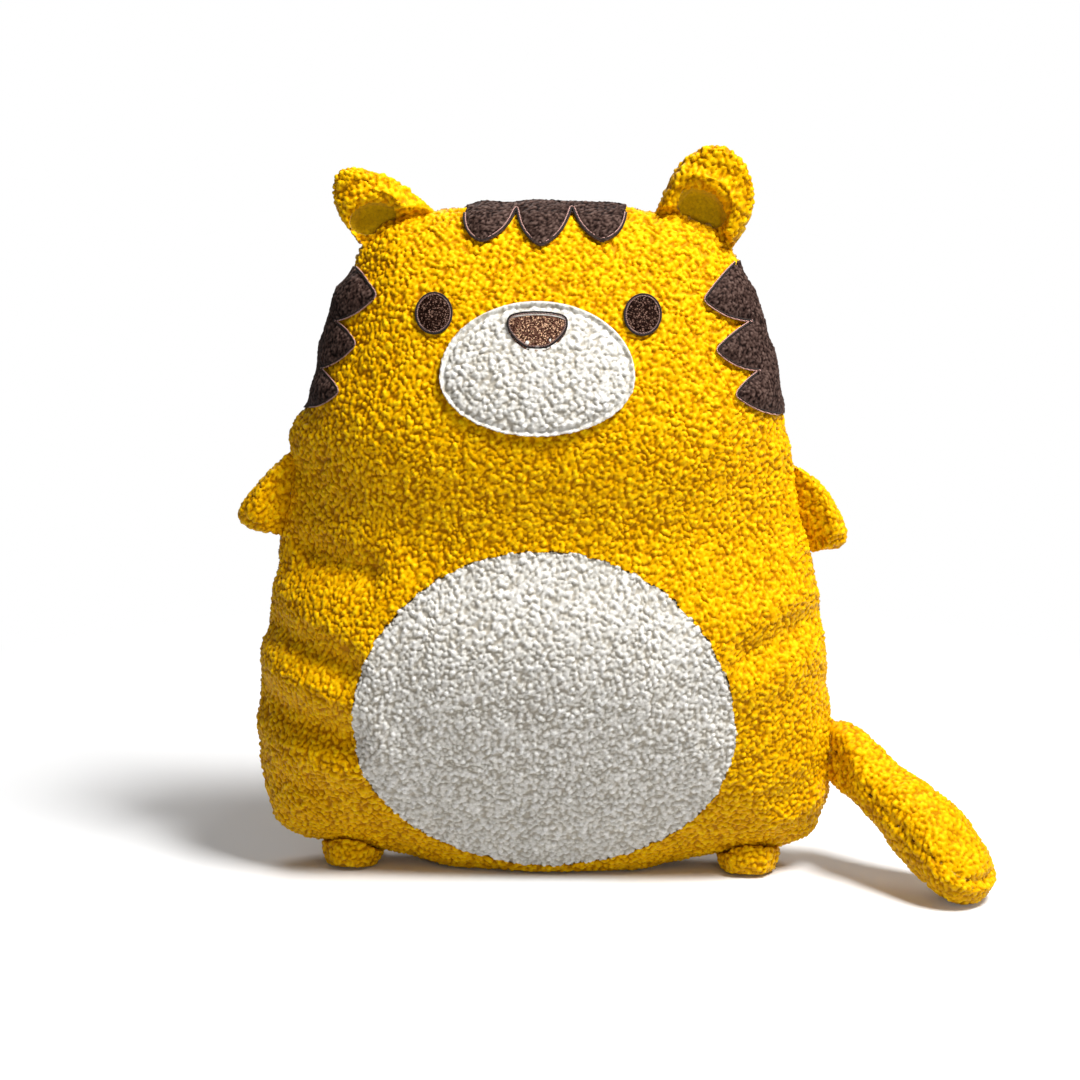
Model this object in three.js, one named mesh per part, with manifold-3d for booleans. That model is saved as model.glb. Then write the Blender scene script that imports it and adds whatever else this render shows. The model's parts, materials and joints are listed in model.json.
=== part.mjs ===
// Plush cat pillow with tiger stripes: a flat stuffed body with sewn ears, arms, feet and a tail.
// Millimetres. +Z is up, -Y is the face side and +X is the viewer's right.
// The origin lies on the floor, on the flat underside of the front panel.
import * as THREE from "three";
import { mergeVertices } from "three/addons/utils/BufferGeometryUtils.js";
import Module from "manifold-3d";

const wasm = await Module();
wasm.setup();

// Cloth, seams and gaps
const clothWall = 4; // curly boucle pile with its backing
const limbWall = 2.6; // the same cloth, pulled tighter over the small parts
const shortPileWall = 2.2; // brown short-pile cloth of the stripes
const feltWall = 1.2; // embroidered eye and nose patches
const seamGap = 0.3; // between two panels sewn edge to edge, and round an inset panel
const layerGap = 0.35; // between one layer of cloth and the next, and between cloth and filling
const rootGap = 0.5; // between the body and the roots of the limbs that fold
const rootHalf = 0.8; // half thickness of a limb where it is sewn in, pinched flat to fold there
const rootLift = 1.5; // the fold line stands this far off the body's seam
const foldSpare = 5; // degrees left between a fully folded limb and the body

// Body, seen from the front: half width and height of the side seam, from the crown to the underside
const bodySeam = {
  crown: [0, 371],
  crownEdge: [58, 368.3],
  shoulderOfHead: [88, 359.5],
  temple: [104, 343],
  brow: [113, 320],
  cheek: [126, 283],
  jaw: [131, 250],
  armpit: [141, 200],
  waist: [150.5, 155],
  hip: [157.5, 108],
  thigh: [160, 58],
  heel: [152, 21],
  instep: [129, 12],
  sole: [97, 7],
};
const soleSink = 11; // depth of the seam's middle below the floor, where the form is cut flat
const bodyCentreHeight = 165;
const headFront = 49; // bulge of the face in front of the seam
const bellyFront = 60;
const footFront = 50; // bulge near the floor
const headBack = 44;
const bellyBack = 54;
const footBack = 46;
const neckLow = 190; // the bulge changes from the belly's to the head's between these heights
const neckHigh = 335;
const lapHigh = 95; // and from the belly's to the underside's below this one
const seamRollBack = 12; // the seam under the body lies this far behind the middle
const seamRollLow = 21; // up to this height
const seamRollTop = 62; // and it is back at the middle by this one

// White oval let into the front panel
const bellyCentre = [1.5, 100.5];
const bellyHalfWidth = 103;
const bellyHalfHeight = 91;

// Face
const faceCentre = -1.8; // sideways, as this toy is sewn
const muzzleHeight = 284; // of its widest line
const muzzleHalfWidth = 51;
const muzzleRise = 38;
const muzzleDrop = 30;
const eyeSpacing = 109;
const eyeLift = 31; // above the muzzle's widest line
const eyeHalfWidth = 9.6;
const eyeHalfHeight = 10.3;
const noseLift = 25; // of its two upper corners, above the same line
const noseHalfWidth = 15.5;
const noseRise = 6.5;
const noseDrop = 11.5;
const noseShape = [
  [-1, 0],
  [-0.8, 0.7],
  [0, 1],
  [0.8, 0.7],
  [1, 0],
  [0.55, -0.68],
  [0, -1],
  [-0.55, -0.68],
]; // shares of the half width, and of the rise or the drop

// Stripes
const crownStripeHalfWidth = 42.5;
const crownLobes = 3;
const crownPeakDrop = 4; // from the top of the seam to the notches between the lobes
const crownLobeDrop = 15;
const crownLobeRoundness = 0.8; // 1 is a plain sine curve, and less is squarer
const crownStripeCentre = -0.5;
const cheekStripe = [
  [101, 338],
  [85, 322],
  [110, 309],
  [91.5, 298],
  [115, 285],
  [101.5, 276],
  [126, 261],
];
const leftCheekShift = 5; // the left stripes are sewn this much further out

// Ears, sewn into the seam over the head
const earInner = 15.5; // degrees from straight up, seen from the body's centre
const earOuter = 30;
const earHeight = 44;
const earHalfDepth = 6.5;
const earLiningWidth = 30;
const earLiningHeight = 27;
const earLiningRecess = 1.5;
const earFold = 35; // degrees each way
const earShape = [
  [-0.5, -0.12],
  [-0.49, 0.3],
  [-0.4, 0.66],
  [-0.24, 0.9],
  [0.02, 1],
  [0.25, 0.88],
  [0.4, 0.6],
  [0.48, 0.28],
  [0.5, -0.12],
]; // shares of the seam's length and of the ear's height, from its outer to its inner end

// Arms, sewn into the side seams
const armLow = 4; // degrees above level, seen from the body's centre
const armHigh = 24;
const armReach = 27;
const armHalfDepth = 12.5;
const armFlap = 40; // degrees each way
const armShape = [
  [-0.5, -0.2],
  [-0.54, 0.4],
  [-0.52, 0.78],
  [-0.4, 1],
  [-0.22, 0.93],
  [0.0, 0.68],
  [0.24, 0.4],
  [0.44, 0.14],
  [0.5, -0.2],
]; // shares of the seam's length and of the reach, from the lower to the upper end

// Feet, sewn into the seam under the body
const footOffset = 111;
const footShift = 3; // both feet lie this much to the right, as sewn
const footHalfWidth = 18.5;
const footHeight = 22;
const footHalfDepth = 23.5;
const footCentreHeight = 8.8;
const footShape = [
  [-0.8, 1],
  [-1, 0.45],
  [-0.75, 0],
  [0, -0.05],
  [0.75, 0],
  [1, 0.45],
  [0.8, 1],
  [0, 1.2],
]; // shares of the half width and of the height

// Tail, sewn into the right side seam and resting on the floor
const tailLow = -38; // degrees above level, seen from the body's centre
const tailHigh = -27;
const tailLength = 103;
const tailRootRadius = 14;
const tailEndRadius = 19.5;
const tailFlatness = 0.93; // height of its section over the width
const tailSwell = [0.05, 0.7]; // shares of its length between which it swells
const tailDroop = [-0.15, 0.74]; // and between which it sinks to the floor
const tailYaw = -36; // degrees round the upright seam, towards the front
const tailForward = 20; // degrees of swing from there
const tailBackward = 60;
const floorCut = 0.5; // depth of the flat where soft parts rest
const tailRestHeight = tailEndRadius * tailFlatness - floorCut;

// Facets
const pointsPerSpan = 2; // along an outline, between two of its stations
const bodyRings = 6;
const limbRings = 3;
const tailSides = 14;
const tailRings = 10;
const bellySides = 48;
const muzzleSides = 32;
const eyeSides = 18;
const lobeSteps = 8;
const fullness = 2.5; // how squarely the bulge fills the outline, seen from the front
const plumpness = 2.2; // how squarely it swells in thickness
const far = 600; // larger than the toy, for cutting forms

// Colours
const honeyBoucle = { color: 0xf2ae12, roughness: 0.95, metalness: 0 };
const whiteBoucle = { color: 0xe8e4de, roughness: 0.95, metalness: 0 };
const brownPile = { color: 0x47342f, roughness: 0.9, metalness: 0 };
const darkThread = { color: 0x2c1c18, roughness: 0.6, metalness: 0 };
const glitterThread = { color: 0x6e4b43, roughness: 0.45, metalness: 0 };
const paleLining = { color: 0xf3d668, roughness: 0.9, metalness: 0 };
const fibreFill = { color: 0xf4f2ec, roughness: 1, metalness: 0 };

const { degToRad, lerp, smoothstep } = THREE.MathUtils;

// Small geometry helpers

/** A closed curve through [x, z] pairs, anticlockwise seen from the front. */
function smoothLoop(pairs, pointsPerSpan) {
  const nodes = pairs.map(([x, z]) => new THREE.Vector3(x, z, 0));
  const curve = new THREE.CatmullRomCurve3(nodes, true, "centripetal");
  const points = curve.getPoints(pairs.length * pointsPerSpan).slice(1);
  return anticlockwise(points.map((p) => new THREE.Vector2(p.x, p.y)));
}

function anticlockwise(points) {
  return THREE.ShapeUtils.isClockWise(points) ? points.slice().reverse() : points;
}

/** Moves each point of a loop outwards, square to the loop. */
function offsetLoop(points, distance) {
  const count = points.length;
  return points.map((point, i) => {
    const before = points[(i + count - 1) % count];
    const after = points[(i + 1) % count];
    const along = after.clone().sub(before).normalize();
    return new THREE.Vector2(point.x + along.y * distance, point.y - along.x * distance);
  });
}

function ellipseLoop(centre, halfWidth, rise, drop, count) {
  const points = [];
  for (let i = 0; i < count; i++) {
    const turn = (2 * Math.PI * i) / count;
    const height = Math.sin(turn) > 0 ? rise : drop;
    const x = centre[0] + halfWidth * Math.cos(turn);
    points.push(new THREE.Vector2(x, centre[1] + height * Math.sin(turn)));
  }
  return points;
}

function mirrored(points, side) {
  return side > 0 ? points : anticlockwise(points.map((p) => new THREE.Vector2(-p.x, p.y)));
}

function toSolid(geometry) {
  const bare = geometry.clone();
  bare.deleteAttribute("normal");
  bare.deleteAttribute("uv");
  const merged = mergeVertices(bare, 1e-4);
  return new wasm.Manifold(
    new wasm.Mesh({
      numProp: 3,
      vertProperties: new Float32Array(merged.attributes.position.array),
      triVerts: new Uint32Array(merged.index.array),
    })
  );
}

function toGeometry(solid) {
  const mesh = solid.getMesh();
  const geometry = new THREE.BufferGeometry();
  geometry.setAttribute("position", new THREE.BufferAttribute(mesh.vertProperties, 3));
  geometry.setIndex(new THREE.BufferAttribute(mesh.triVerts, 1));
  geometry.computeVertexNormals();
  return geometry;
}

/** Everything behind a front-view outline, between two depths. */
function prism(points, nearY = -far / 2, farY = far / 2) {
  const shape = new THREE.Shape(points);
  const geometry = new THREE.ExtrudeGeometry(shape, { depth: farY - nearY, bevelEnabled: false });
  geometry.rotateX(Math.PI / 2);
  geometry.translate(0, farY, 0);
  return toSolid(geometry);
}

/** A side-view outline of [y, z] pairs, drawn out across the whole width. */
function acrossWidth(pairs) {
  const shape = new THREE.Shape(pairs.map(([y, z]) => new THREE.Vector2(y, z)));
  const geometry = new THREE.ExtrudeGeometry(shape, { depth: far, bevelEnabled: false });
  geometry.rotateX(Math.PI / 2);
  geometry.rotateZ(Math.PI / 2);
  geometry.translate(-far / 2, 0, 0);
  return toSolid(geometry);
}

function belowHeight(height) {
  const geometry = new THREE.BoxGeometry(far, far, far);
  geometry.translate(0, 0, height - far / 2);
  return toSolid(geometry);
}

/** Joins rings of equal count, a first point and a last point into one closed skin. */
function closedSkin(firstPoint, rings, lastPoint) {
  const count = rings[0].length;
  const position = [firstPoint, ...rings.flat(), lastPoint].flatMap((p) => p.toArray());
  const index = [];
  const at = (ring, i) => 1 + ring * count + (i % count);
  const last = 1 + rings.length * count;
  for (let i = 0; i < count; i++) {
    index.push(0, at(0, i), at(0, i + 1));
    for (let ring = 0; ring + 1 < rings.length; ring++) {
      index.push(at(ring, i), at(ring + 1, i), at(ring + 1, i + 1));
      index.push(at(ring, i), at(ring + 1, i + 1), at(ring, i + 1));
    }
    index.push(at(rings.length - 1, i), last, at(rings.length - 1, i + 1));
  }
  const geometry = new THREE.BufferGeometry();
  geometry.setAttribute("position", new THREE.Float32BufferAttribute(position, 3));
  geometry.setIndex(index);
  return geometry;
}

/** A stuffed form: an outline whose middle swells to the front and to the back. */
function pillow(outline, centre, frontDepth, backDepth, ringCount) {
  const ringAt = (turn, depth, side) => {
    const spread = Math.pow(Math.sin(turn), 2 / fullness);
    const swell = Math.pow(Math.max(0, Math.cos(turn)), 2 / plumpness);
    return outline.map((p) => {
      const x = lerp(centre.x, p.x, spread);
      const z = lerp(centre.y, p.y, spread);
      return new THREE.Vector3(x, side * depth(z) * swell, z);
    });
  };
  const rings = [];
  for (let k = 1; k < ringCount; k++) rings.push(ringAt((k / ringCount) * (Math.PI / 2), frontDepth, -1));
  rings.push(outline.map((p) => new THREE.Vector3(p.x, 0, p.y)));
  for (let k = ringCount - 1; k > 0; k--) rings.push(ringAt((k / ringCount) * (Math.PI / 2), backDepth, 1));
  const frontPole = new THREE.Vector3(centre.x, -frontDepth(centre.y), centre.y);
  const backPole = new THREE.Vector3(centre.x, backDepth(centre.y), centre.y);
  return closedSkin(frontPole, rings, backPole);
}

// Body form

const rightSeam = Object.values(bodySeam);
const leftSeam = rightSeam.slice(1).reverse().map(([x, z]) => [-x, z]);
const bodyOutline = smoothLoop([...rightSeam, [0, -soleSink], ...leftSeam], pointsPerSpan);
const bodyCentre = new THREE.Vector2(0, bodyCentreHeight);

function bulgeAt(height, foot, belly, head) {
  const lower = lerp(foot, belly, smoothstep(height, 0, lapHigh));
  return lerp(lower, head, smoothstep(height, neckLow, neckHigh));
}

/** The body's outer skin, moved outwards by a distance, and not yet cut flat. */
function bodyGeometry(grow) {
  const front = (z) => bulgeAt(z, footFront, bellyFront, headFront) + grow;
  const back = (z) => bulgeAt(z, footBack, bellyBack, headBack) + grow;
  return pillow(offsetLoop(bodyOutline, grow), bodyCentre, front, back, bodyRings);
}

function bodyForm(grow, floor = Math.max(0, -grow)) {
  return toSolid(bodyGeometry(grow)).subtract(belowHeight(floor));
}

/** The space in front of the seam between the two panels, moved by an offset along Y. */
function frontOfSeam(offset) {
  return acrossWidth([
    [-far, -far / 2],
    [seamRollBack + offset, -far / 2],
    [seamRollBack + offset, seamRollLow],
    [offset, seamRollTop],
    [offset, far],
    [-far, far],
  ]);
}

/** A layer of cloth laid on the front panel over other layers, cut to a front-view outline. */
function layerOnBody(outline, under, wall) {
  const layer = bodyForm(under + wall, 0).subtract(bodyForm(under, 0));
  return layer.intersect(prism(outline)).intersect(frontOfSeam(-seamGap / 2));
}

/** The point of the right-hand body seam at an angle above level, seen from the body's centre. */
function seamPoint(angle) {
  const ray = new THREE.Vector2(Math.cos(degToRad(angle)), Math.sin(degToRad(angle)));
  for (let i = 0; i < bodyOutline.length; i++) {
    const start = bodyOutline[i].clone().sub(bodyCentre);
    const end = bodyOutline[(i + 1) % bodyOutline.length].clone().sub(bodyCentre);
    const before = ray.cross(start);
    const after = ray.cross(end);
    if (before <= 0 && after > 0 && start.dot(ray) > 0) {
      return start.lerp(end, before / (before - after)).add(bodyCentre);
    }
  }
  throw new Error("the body seam has no point at this angle");
}

/** Where a limb is sewn on the right-hand seam: its middle, its direction and its fold line. */
function sewnRoot(firstAngle, lastAngle) {
  const first = seamPoint(firstAngle);
  const last = seamPoint(lastAngle);
  const along = last.clone().sub(first).normalize();
  const middle = first.clone().add(last).multiplyScalar(0.5);
  const out = new THREE.Vector2(along.y, -along.x);
  const bulge = Math.max(...bodyOutline.map((p) => p.clone().sub(middle).dot(out)));
  const pivot = middle.clone().addScaledVector(out, bulge + rootLift);
  return { length: first.distanceTo(last), along, middle, out, pivot };
}

/** A limb's front-view outline, from shares of its seam's length and of its reach. */
function limbOutline(root, shares, reach, side) {
  const pairs = shares.map(([u, w]) => {
    const point = root.middle.clone();
    point.addScaledVector(root.along, u * root.length).addScaledVector(root.out, w * reach);
    return [point.x, point.y];
  });
  return mirrored(smoothLoop(pairs, pointsPerSpan), side);
}

function middleOf(points) {
  const sum = points.reduce((total, p) => total.add(p), new THREE.Vector2());
  return sum.divideScalar(points.length);
}

/** Everything on one side of a plane. */
function halfSpace(point, inward) {
  const geometry = new THREE.BoxGeometry(far, far, far);
  geometry.translate(0, 0, far / 2);
  geometry.applyQuaternion(new THREE.Quaternion().setFromUnitVectors(new THREE.Vector3(0, 0, 1), inward));
  geometry.translate(point.x, point.y, point.z);
  return toSolid(geometry);
}

/** The fold line of a limb, and its outward direction at rest. */
function hingeOf(root, side) {
  return {
    point: new THREE.Vector3(side * root.pivot.x, 0, root.pivot.y),
    axis: new THREE.Vector3(root.along.x, 0, side * root.along.y),
    out: new THREE.Vector3(side * root.out.x, 0, root.out.y),
  };
}

/** The room that a limb has round its fold line: a wedge that stays off the body when the limb folds. */
function foldRoom(hinge, forward, backward, inset) {
  const slopes = [forward, backward].map((fold) => degToRad(90 - fold - foldSpare));
  const sides = slopes.map((slope, i) => {
    const inward = hinge.out.clone().multiplyScalar(Math.sin(slope));
    inward.y = (i === 0 ? 1 : -1) * Math.cos(slope);
    return halfSpace(hinge.point.clone().addScaledVector(inward, inset), inward);
  });
  const wedge = sides[0].intersect(sides[1]);
  if (inset > 0) {
    const blunt = inset / Math.sin(Math.min(...slopes)) + rootHalf;
    return wedge.intersect(halfSpace(hinge.point.clone().addScaledVector(hinge.out, blunt), hinge.out));
  }
  const stem = new THREE.BoxGeometry(far, 2 * rootHalf, 2 * clothWall);
  const across = new THREE.Vector3().crossVectors(hinge.out, hinge.axis);
  stem.applyMatrix4(new THREE.Matrix4().makeBasis(hinge.axis, across, hinge.out));
  stem.translate(hinge.point.x, hinge.point.y, hinge.point.z);
  return wedge.add(toSolid(stem));
}

/** Cuts the body, with a clearance, out of a limb. */
function clearOfBody(limb, clearance) {
  return limb.subtract(toSolid(bodyGeometry(clearance)));
}

/** Splits a form at the upright middle plane into its front and back halves, a seam's gap apart. */
function frontAndBack(form) {
  const frontHalf = acrossWidth([[-far, -far], [-seamGap / 2, -far], [-seamGap / 2, far], [-far, far]]);
  const backHalf = acrossWidth([[seamGap / 2, -far], [far, -far], [far, far], [seamGap / 2, far]]);
  return [form.intersect(frontHalf), form.intersect(backHalf)];
}

// Sub-assemblies

const toy = new THREE.Group();
toy.name = "plush_cat_pillow";
toy.userData.hinges = {};

function addPiece(group, name, solid, finish) {
  const geometry = toGeometry(solid);
  geometry.translate(-group.position.x, -group.position.y, -group.position.z);
  const mesh = new THREE.Mesh(geometry, new THREE.MeshStandardMaterial(finish));
  mesh.name = name;
  group.add(mesh);
}

function addGroup(position) {
  const group = new THREE.Group();
  group.position.copy(position);
  toy.add(group);
  return group;
}

function buildBody() {
  const group = addGroup(new THREE.Vector3());
  const cover = bodyForm(0).subtract(bodyForm(-clothWall));
  const oval = ellipseLoop(bellyCentre, bellyHalfWidth, bellyHalfHeight, bellyHalfHeight, bellySides);
  const front = cover.intersect(frontOfSeam(-seamGap / 2));
  const window = prism(offsetLoop(oval, seamGap / 2), -far / 2, 0);
  const belly = prism(offsetLoop(oval, -seamGap / 2), -far / 2, 0);
  addPiece(group, "front_panel", front.subtract(window), honeyBoucle);
  addPiece(group, "belly_panel", front.intersect(belly), whiteBoucle);
  addPiece(group, "back_panel", cover.subtract(frontOfSeam(seamGap / 2)), honeyBoucle);
  addPiece(group, "body_filling", bodyForm(-clothWall - layerGap), fibreFill);
}

function buildFace() {
  const group = addGroup(new THREE.Vector3());
  const middle = [faceCentre, muzzleHeight];
  const muzzle = ellipseLoop(middle, muzzleHalfWidth, muzzleRise, muzzleDrop, muzzleSides);
  addPiece(group, "muzzle_patch", layerOnBody(muzzle, layerGap, clothWall), whiteBoucle);

  const noseHeight = muzzleHeight + noseLift;
  const nosePairs = noseShape.map(([u, w]) => {
    return [faceCentre + u * noseHalfWidth, noseHeight + w * (w > 0 ? noseRise : noseDrop)];
  });
  const nose = smoothLoop(nosePairs, pointsPerSpan);
  const onMuzzle = layerGap + clothWall + layerGap;
  addPiece(group, "nose_patch", layerOnBody(nose, onMuzzle, feltWall), glitterThread);

  for (const [name, side] of [["left_eye_patch", -1], ["right_eye_patch", 1]]) {
    const centre = [faceCentre + (side * eyeSpacing) / 2, muzzleHeight + eyeLift];
    const eye = ellipseLoop(centre, eyeHalfWidth, eyeHalfHeight, eyeHalfHeight, eyeSides);
    addPiece(group, name, layerOnBody(eye, layerGap, feltWall), darkThread);
  }
}

/** The scalloped lower edge of the crown stripes, closed over the top of the head. */
function crownStripeOutline() {
  const left = crownStripeCentre - crownStripeHalfWidth;
  const lobeWidth = (2 * crownStripeHalfWidth) / crownLobes;
  const peakHeight = bodySeam.crown[1] - crownPeakDrop;
  const points = [];
  for (let lobe = 0; lobe < crownLobes; lobe++) {
    for (let step = lobe === 0 ? 0 : 1; step <= lobeSteps; step++) {
      const share = step / lobeSteps;
      const drop = crownLobeDrop * Math.pow(Math.sin(Math.PI * share), crownLobeRoundness);
      points.push(new THREE.Vector2(left + (lobe + share) * lobeWidth, peakHeight - drop));
    }
  }
  points.push(new THREE.Vector2(left + 2 * crownStripeHalfWidth, far));
  points.push(new THREE.Vector2(left, far));
  return anticlockwise(points);
}

function buildStripes() {
  const group = addGroup(new THREE.Vector3());
  addPiece(group, "crown_stripes", layerOnBody(crownStripeOutline(), layerGap, shortPileWall), brownPile);

  const first = cheekStripe[0];
  const last = cheekStripe[cheekStripe.length - 1];
  for (const [name, side, shift] of [
    ["left_cheek_stripes", -1, leftCheekShift],
    ["right_cheek_stripes", 1, 0],
  ]) {
    const inner = cheekStripe.map(([x, z]) => new THREE.Vector2(x + shift, z));
    const outer = [new THREE.Vector2(far, last[1]), new THREE.Vector2(far, first[1])];
    const outline = mirrored(anticlockwise([...inner, ...outer]), side);
    addPiece(group, name, layerOnBody(outline, layerGap, shortPileWall), brownPile);
  }
}

function buildEars() {
  const root = sewnRoot(90 - earOuter, 90 - earInner);
  const liningShape = earShape.map(([u, w]) => [(u * earLiningWidth) / root.length, w]);
  for (const [word, side] of [["left", -1], ["right", 1]]) {
    const hinge = hingeOf(root, side);
    toy.userData.hinges[`${word}_ear_fold`] = hinge;
    const group = addGroup(hinge.point);
    const outline = limbOutline(root, earShape, earHeight, side);
    const lining = limbOutline(root, liningShape, earLiningHeight, side);
    const form = (grow) => {
      const depth = () => earHalfDepth + grow;
      const skin = toSolid(pillow(offsetLoop(outline, grow), middleOf(outline), depth, depth, limbRings));
      return clearOfBody(skin.intersect(foldRoom(hinge, earFold, earFold, 0)), rootGap);
    };
    const [front, back] = frontAndBack(form(0));
    const [recessed] = frontAndBack(form(-earLiningRecess));
    addPiece(group, `${word}_ear_rim`, front.subtract(prism(offsetLoop(lining, seamGap / 2))), honeyBoucle);
    const sunk = recessed.intersect(prism(offsetLoop(lining, -seamGap / 2)));
    addPiece(group, `${word}_ear_lining`, sunk, paleLining);
    addPiece(group, `${word}_ear_back`, back, honeyBoucle);
  }
}

function addStuffedLimb(group, word, form) {
  const [front, back] = frontAndBack(form(0).subtract(form(-limbWall)));
  addPiece(group, `${word}_front`, front, honeyBoucle);
  addPiece(group, `${word}_back`, back, honeyBoucle);
  addPiece(group, `${word}_filling`, form(-limbWall - layerGap), fibreFill);
}

function buildArms() {
  const root = sewnRoot(armLow, armHigh);
  for (const [word, side] of [["left", -1], ["right", 1]]) {
    const hinge = hingeOf(root, side);
    toy.userData.hinges[`${word}_arm_flap`] = hinge;
    const outline = limbOutline(root, armShape, armReach, side);
    const form = (grow) => {
      const depth = () => armHalfDepth + grow;
      const skin = toSolid(pillow(offsetLoop(outline, grow), middleOf(outline), depth, depth, limbRings));
      return clearOfBody(skin.intersect(foldRoom(hinge, armFlap, armFlap, -grow)), rootGap - grow);
    };
    addStuffedLimb(addGroup(hinge.point), `${word}_arm`, form);
  }
}

function buildFeet() {
  for (const [word, side] of [["left", -1], ["right", 1]]) {
    const x = side * footOffset + footShift;
    const pairs = footShape.map(([u, w]) => [x + u * footHalfWidth, w * footHeight - floorCut]);
    const outline = smoothLoop(pairs, pointsPerSpan);
    const centre = new THREE.Vector2(x, footCentreHeight);
    const form = (grow) => {
      const depth = () => footHalfDepth + grow;
      const skin = toSolid(pillow(offsetLoop(outline, grow), centre, depth, depth, limbRings));
      return clearOfBody(skin, layerGap - grow).subtract(belowHeight(Math.max(0, -grow)));
    };
    addStuffedLimb(addGroup(new THREE.Vector3(x, 0, 0)), `${word}_foot`, form);
  }
}

/** The tail's middle height and its radius at a distance along it, in its own upright plane. */
function tailStation(reach, rootHeight, grow) {
  const share = reach / tailLength;
  const roundFrom = tailLength - tailEndRadius;
  const pastRound = Math.max(0, reach - roundFrom) / (tailEndRadius + grow);
  const swell = lerp(tailRootRadius, tailEndRadius, smoothstep(share, ...tailSwell)) + grow;
  return {
    reach,
    height: lerp(rootHeight, tailRestHeight, smoothstep(share, ...tailDroop)),
    radius: swell * Math.sqrt(Math.max(0, 1 - pastRound ** 2)),
  };
}

function tailGeometry(root, grow) {
  const stations = [];
  for (let k = 0; k <= tailRings; k++) {
    const turn = (k / tailRings) * (Math.PI / 2);
    const reach = lerp(-tailRootRadius, tailLength + grow, Math.sin(turn));
    stations.push(tailStation(reach, root.middle.y, grow));
  }
  const rings = [];
  for (let k = 0; k < tailRings; k++) {
    const here = stations[k];
    const next = stations[k + 1];
    const slope = Math.atan2(next.height - here.height, next.reach - here.reach);
    const ring = [];
    for (let i = 0; i < tailSides; i++) {
      const turn = (-2 * Math.PI * i) / tailSides;
      const across = here.radius * Math.cos(turn);
      const up = here.radius * tailFlatness * Math.sin(turn);
      const reach = here.reach - up * Math.sin(slope);
      ring.push(new THREE.Vector3(reach, across, here.height + up * Math.cos(slope)));
    }
    rings.push(ring);
  }
  const first = stations[0];
  const last = stations[tailRings];
  const start = new THREE.Vector3(first.reach, 0, first.height);
  return closedSkin(start, rings, new THREE.Vector3(last.reach, 0, last.height));
}

/** The space above the seam that runs along both sides of the tail, moved up by an offset. */
function overTailSeam(root, offset) {
  const shape = new THREE.Shape();
  shape.moveTo(-far / 2, root.middle.y + offset);
  for (let k = 0; k <= tailRings; k++) {
    const here = tailStation(lerp(-tailRootRadius, tailLength, k / tailRings), root.middle.y, 0);
    shape.lineTo(here.reach, here.height + offset);
  }
  shape.lineTo(far / 2, tailRestHeight + offset);
  shape.lineTo(far / 2, far);
  shape.lineTo(-far / 2, far);
  const geometry = new THREE.ExtrudeGeometry(shape, { depth: far, bevelEnabled: false });
  geometry.rotateX(Math.PI / 2);
  geometry.translate(0, far / 2, 0);
  return geometry;
}

function buildTail() {
  const root = sewnRoot(tailLow, tailHigh);
  const hinge = {
    point: new THREE.Vector3(root.pivot.x, 0, root.pivot.y),
    axis: new THREE.Vector3(0, 0, 1),
    out: new THREE.Vector3(1, 0, 0),
  };
  toy.userData.hinges.tail_swing = hinge;
  const place = (geometry) => {
    geometry.rotateZ(degToRad(tailYaw));
    geometry.translate(hinge.point.x, hinge.point.y, 0);
    return toSolid(geometry);
  };
  const form = (grow) => {
    const room = foldRoom(hinge, tailForward, tailBackward, -grow);
    const skin = clearOfBody(place(tailGeometry(root, grow)).intersect(room), rootGap - grow);
    return skin.subtract(belowHeight(Math.max(0, -grow)));
  };
  const cover = form(0).subtract(form(-limbWall));
  const group = addGroup(hinge.point);
  addPiece(group, "tail_upper", cover.intersect(place(overTailSeam(root, seamGap / 2))), honeyBoucle);
  addPiece(group, "tail_under", cover.subtract(place(overTailSeam(root, -seamGap / 2))), honeyBoucle);
  addPiece(group, "tail_filling", form(-limbWall - layerGap), fibreFill);
}

buildBody();
buildFace();
buildStripes();
buildEars();
buildArms();
buildFeet();
buildTail();

export default toy;
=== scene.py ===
"""Dresses a plush cat pillow: curly boucle panels, sewn-on stripes, a stitched face and stuffed limbs."""

import sys
import json
import logging
import math
from collections.abc import Iterator, Sequence
from contextlib import contextmanager
from dataclasses import dataclass, field
from enum import Enum
from itertools import product

import bpy
import numpy as np
from mathutils import Matrix, Vector
from mathutils.bvhtree import BVHTree


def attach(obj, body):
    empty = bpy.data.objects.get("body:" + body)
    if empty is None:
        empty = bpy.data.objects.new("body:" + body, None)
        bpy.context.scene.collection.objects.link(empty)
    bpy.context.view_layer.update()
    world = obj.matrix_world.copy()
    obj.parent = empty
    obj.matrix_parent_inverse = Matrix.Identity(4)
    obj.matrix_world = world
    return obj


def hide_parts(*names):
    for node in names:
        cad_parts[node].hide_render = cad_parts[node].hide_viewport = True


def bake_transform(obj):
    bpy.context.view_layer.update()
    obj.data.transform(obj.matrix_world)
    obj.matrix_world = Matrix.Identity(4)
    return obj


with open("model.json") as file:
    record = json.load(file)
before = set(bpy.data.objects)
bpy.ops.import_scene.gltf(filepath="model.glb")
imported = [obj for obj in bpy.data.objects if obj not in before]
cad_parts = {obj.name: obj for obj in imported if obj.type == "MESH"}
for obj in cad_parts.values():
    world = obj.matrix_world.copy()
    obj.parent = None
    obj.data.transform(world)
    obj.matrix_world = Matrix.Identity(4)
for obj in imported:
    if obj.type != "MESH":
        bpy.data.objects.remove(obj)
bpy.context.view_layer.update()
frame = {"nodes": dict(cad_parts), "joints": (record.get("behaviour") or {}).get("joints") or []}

MM = 0.001
LOG = logging.getLogger("plush_cat_pillow")
BODY_MIDDLE = 165.0  # mm, the height of the body's middle
PILE, BACKING = 0, 1  # the material slots of a cloth with a curly face and a plain back
INWARDS = Vector((0, 1, 0))  # the way into the toy from the front

Mesh = bpy.types.Object
Material = bpy.types.Material
Socket = bpy.types.NodeSocket
Places = np.ndarray
Table = tuple[tuple[float, ...], ...]


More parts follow.
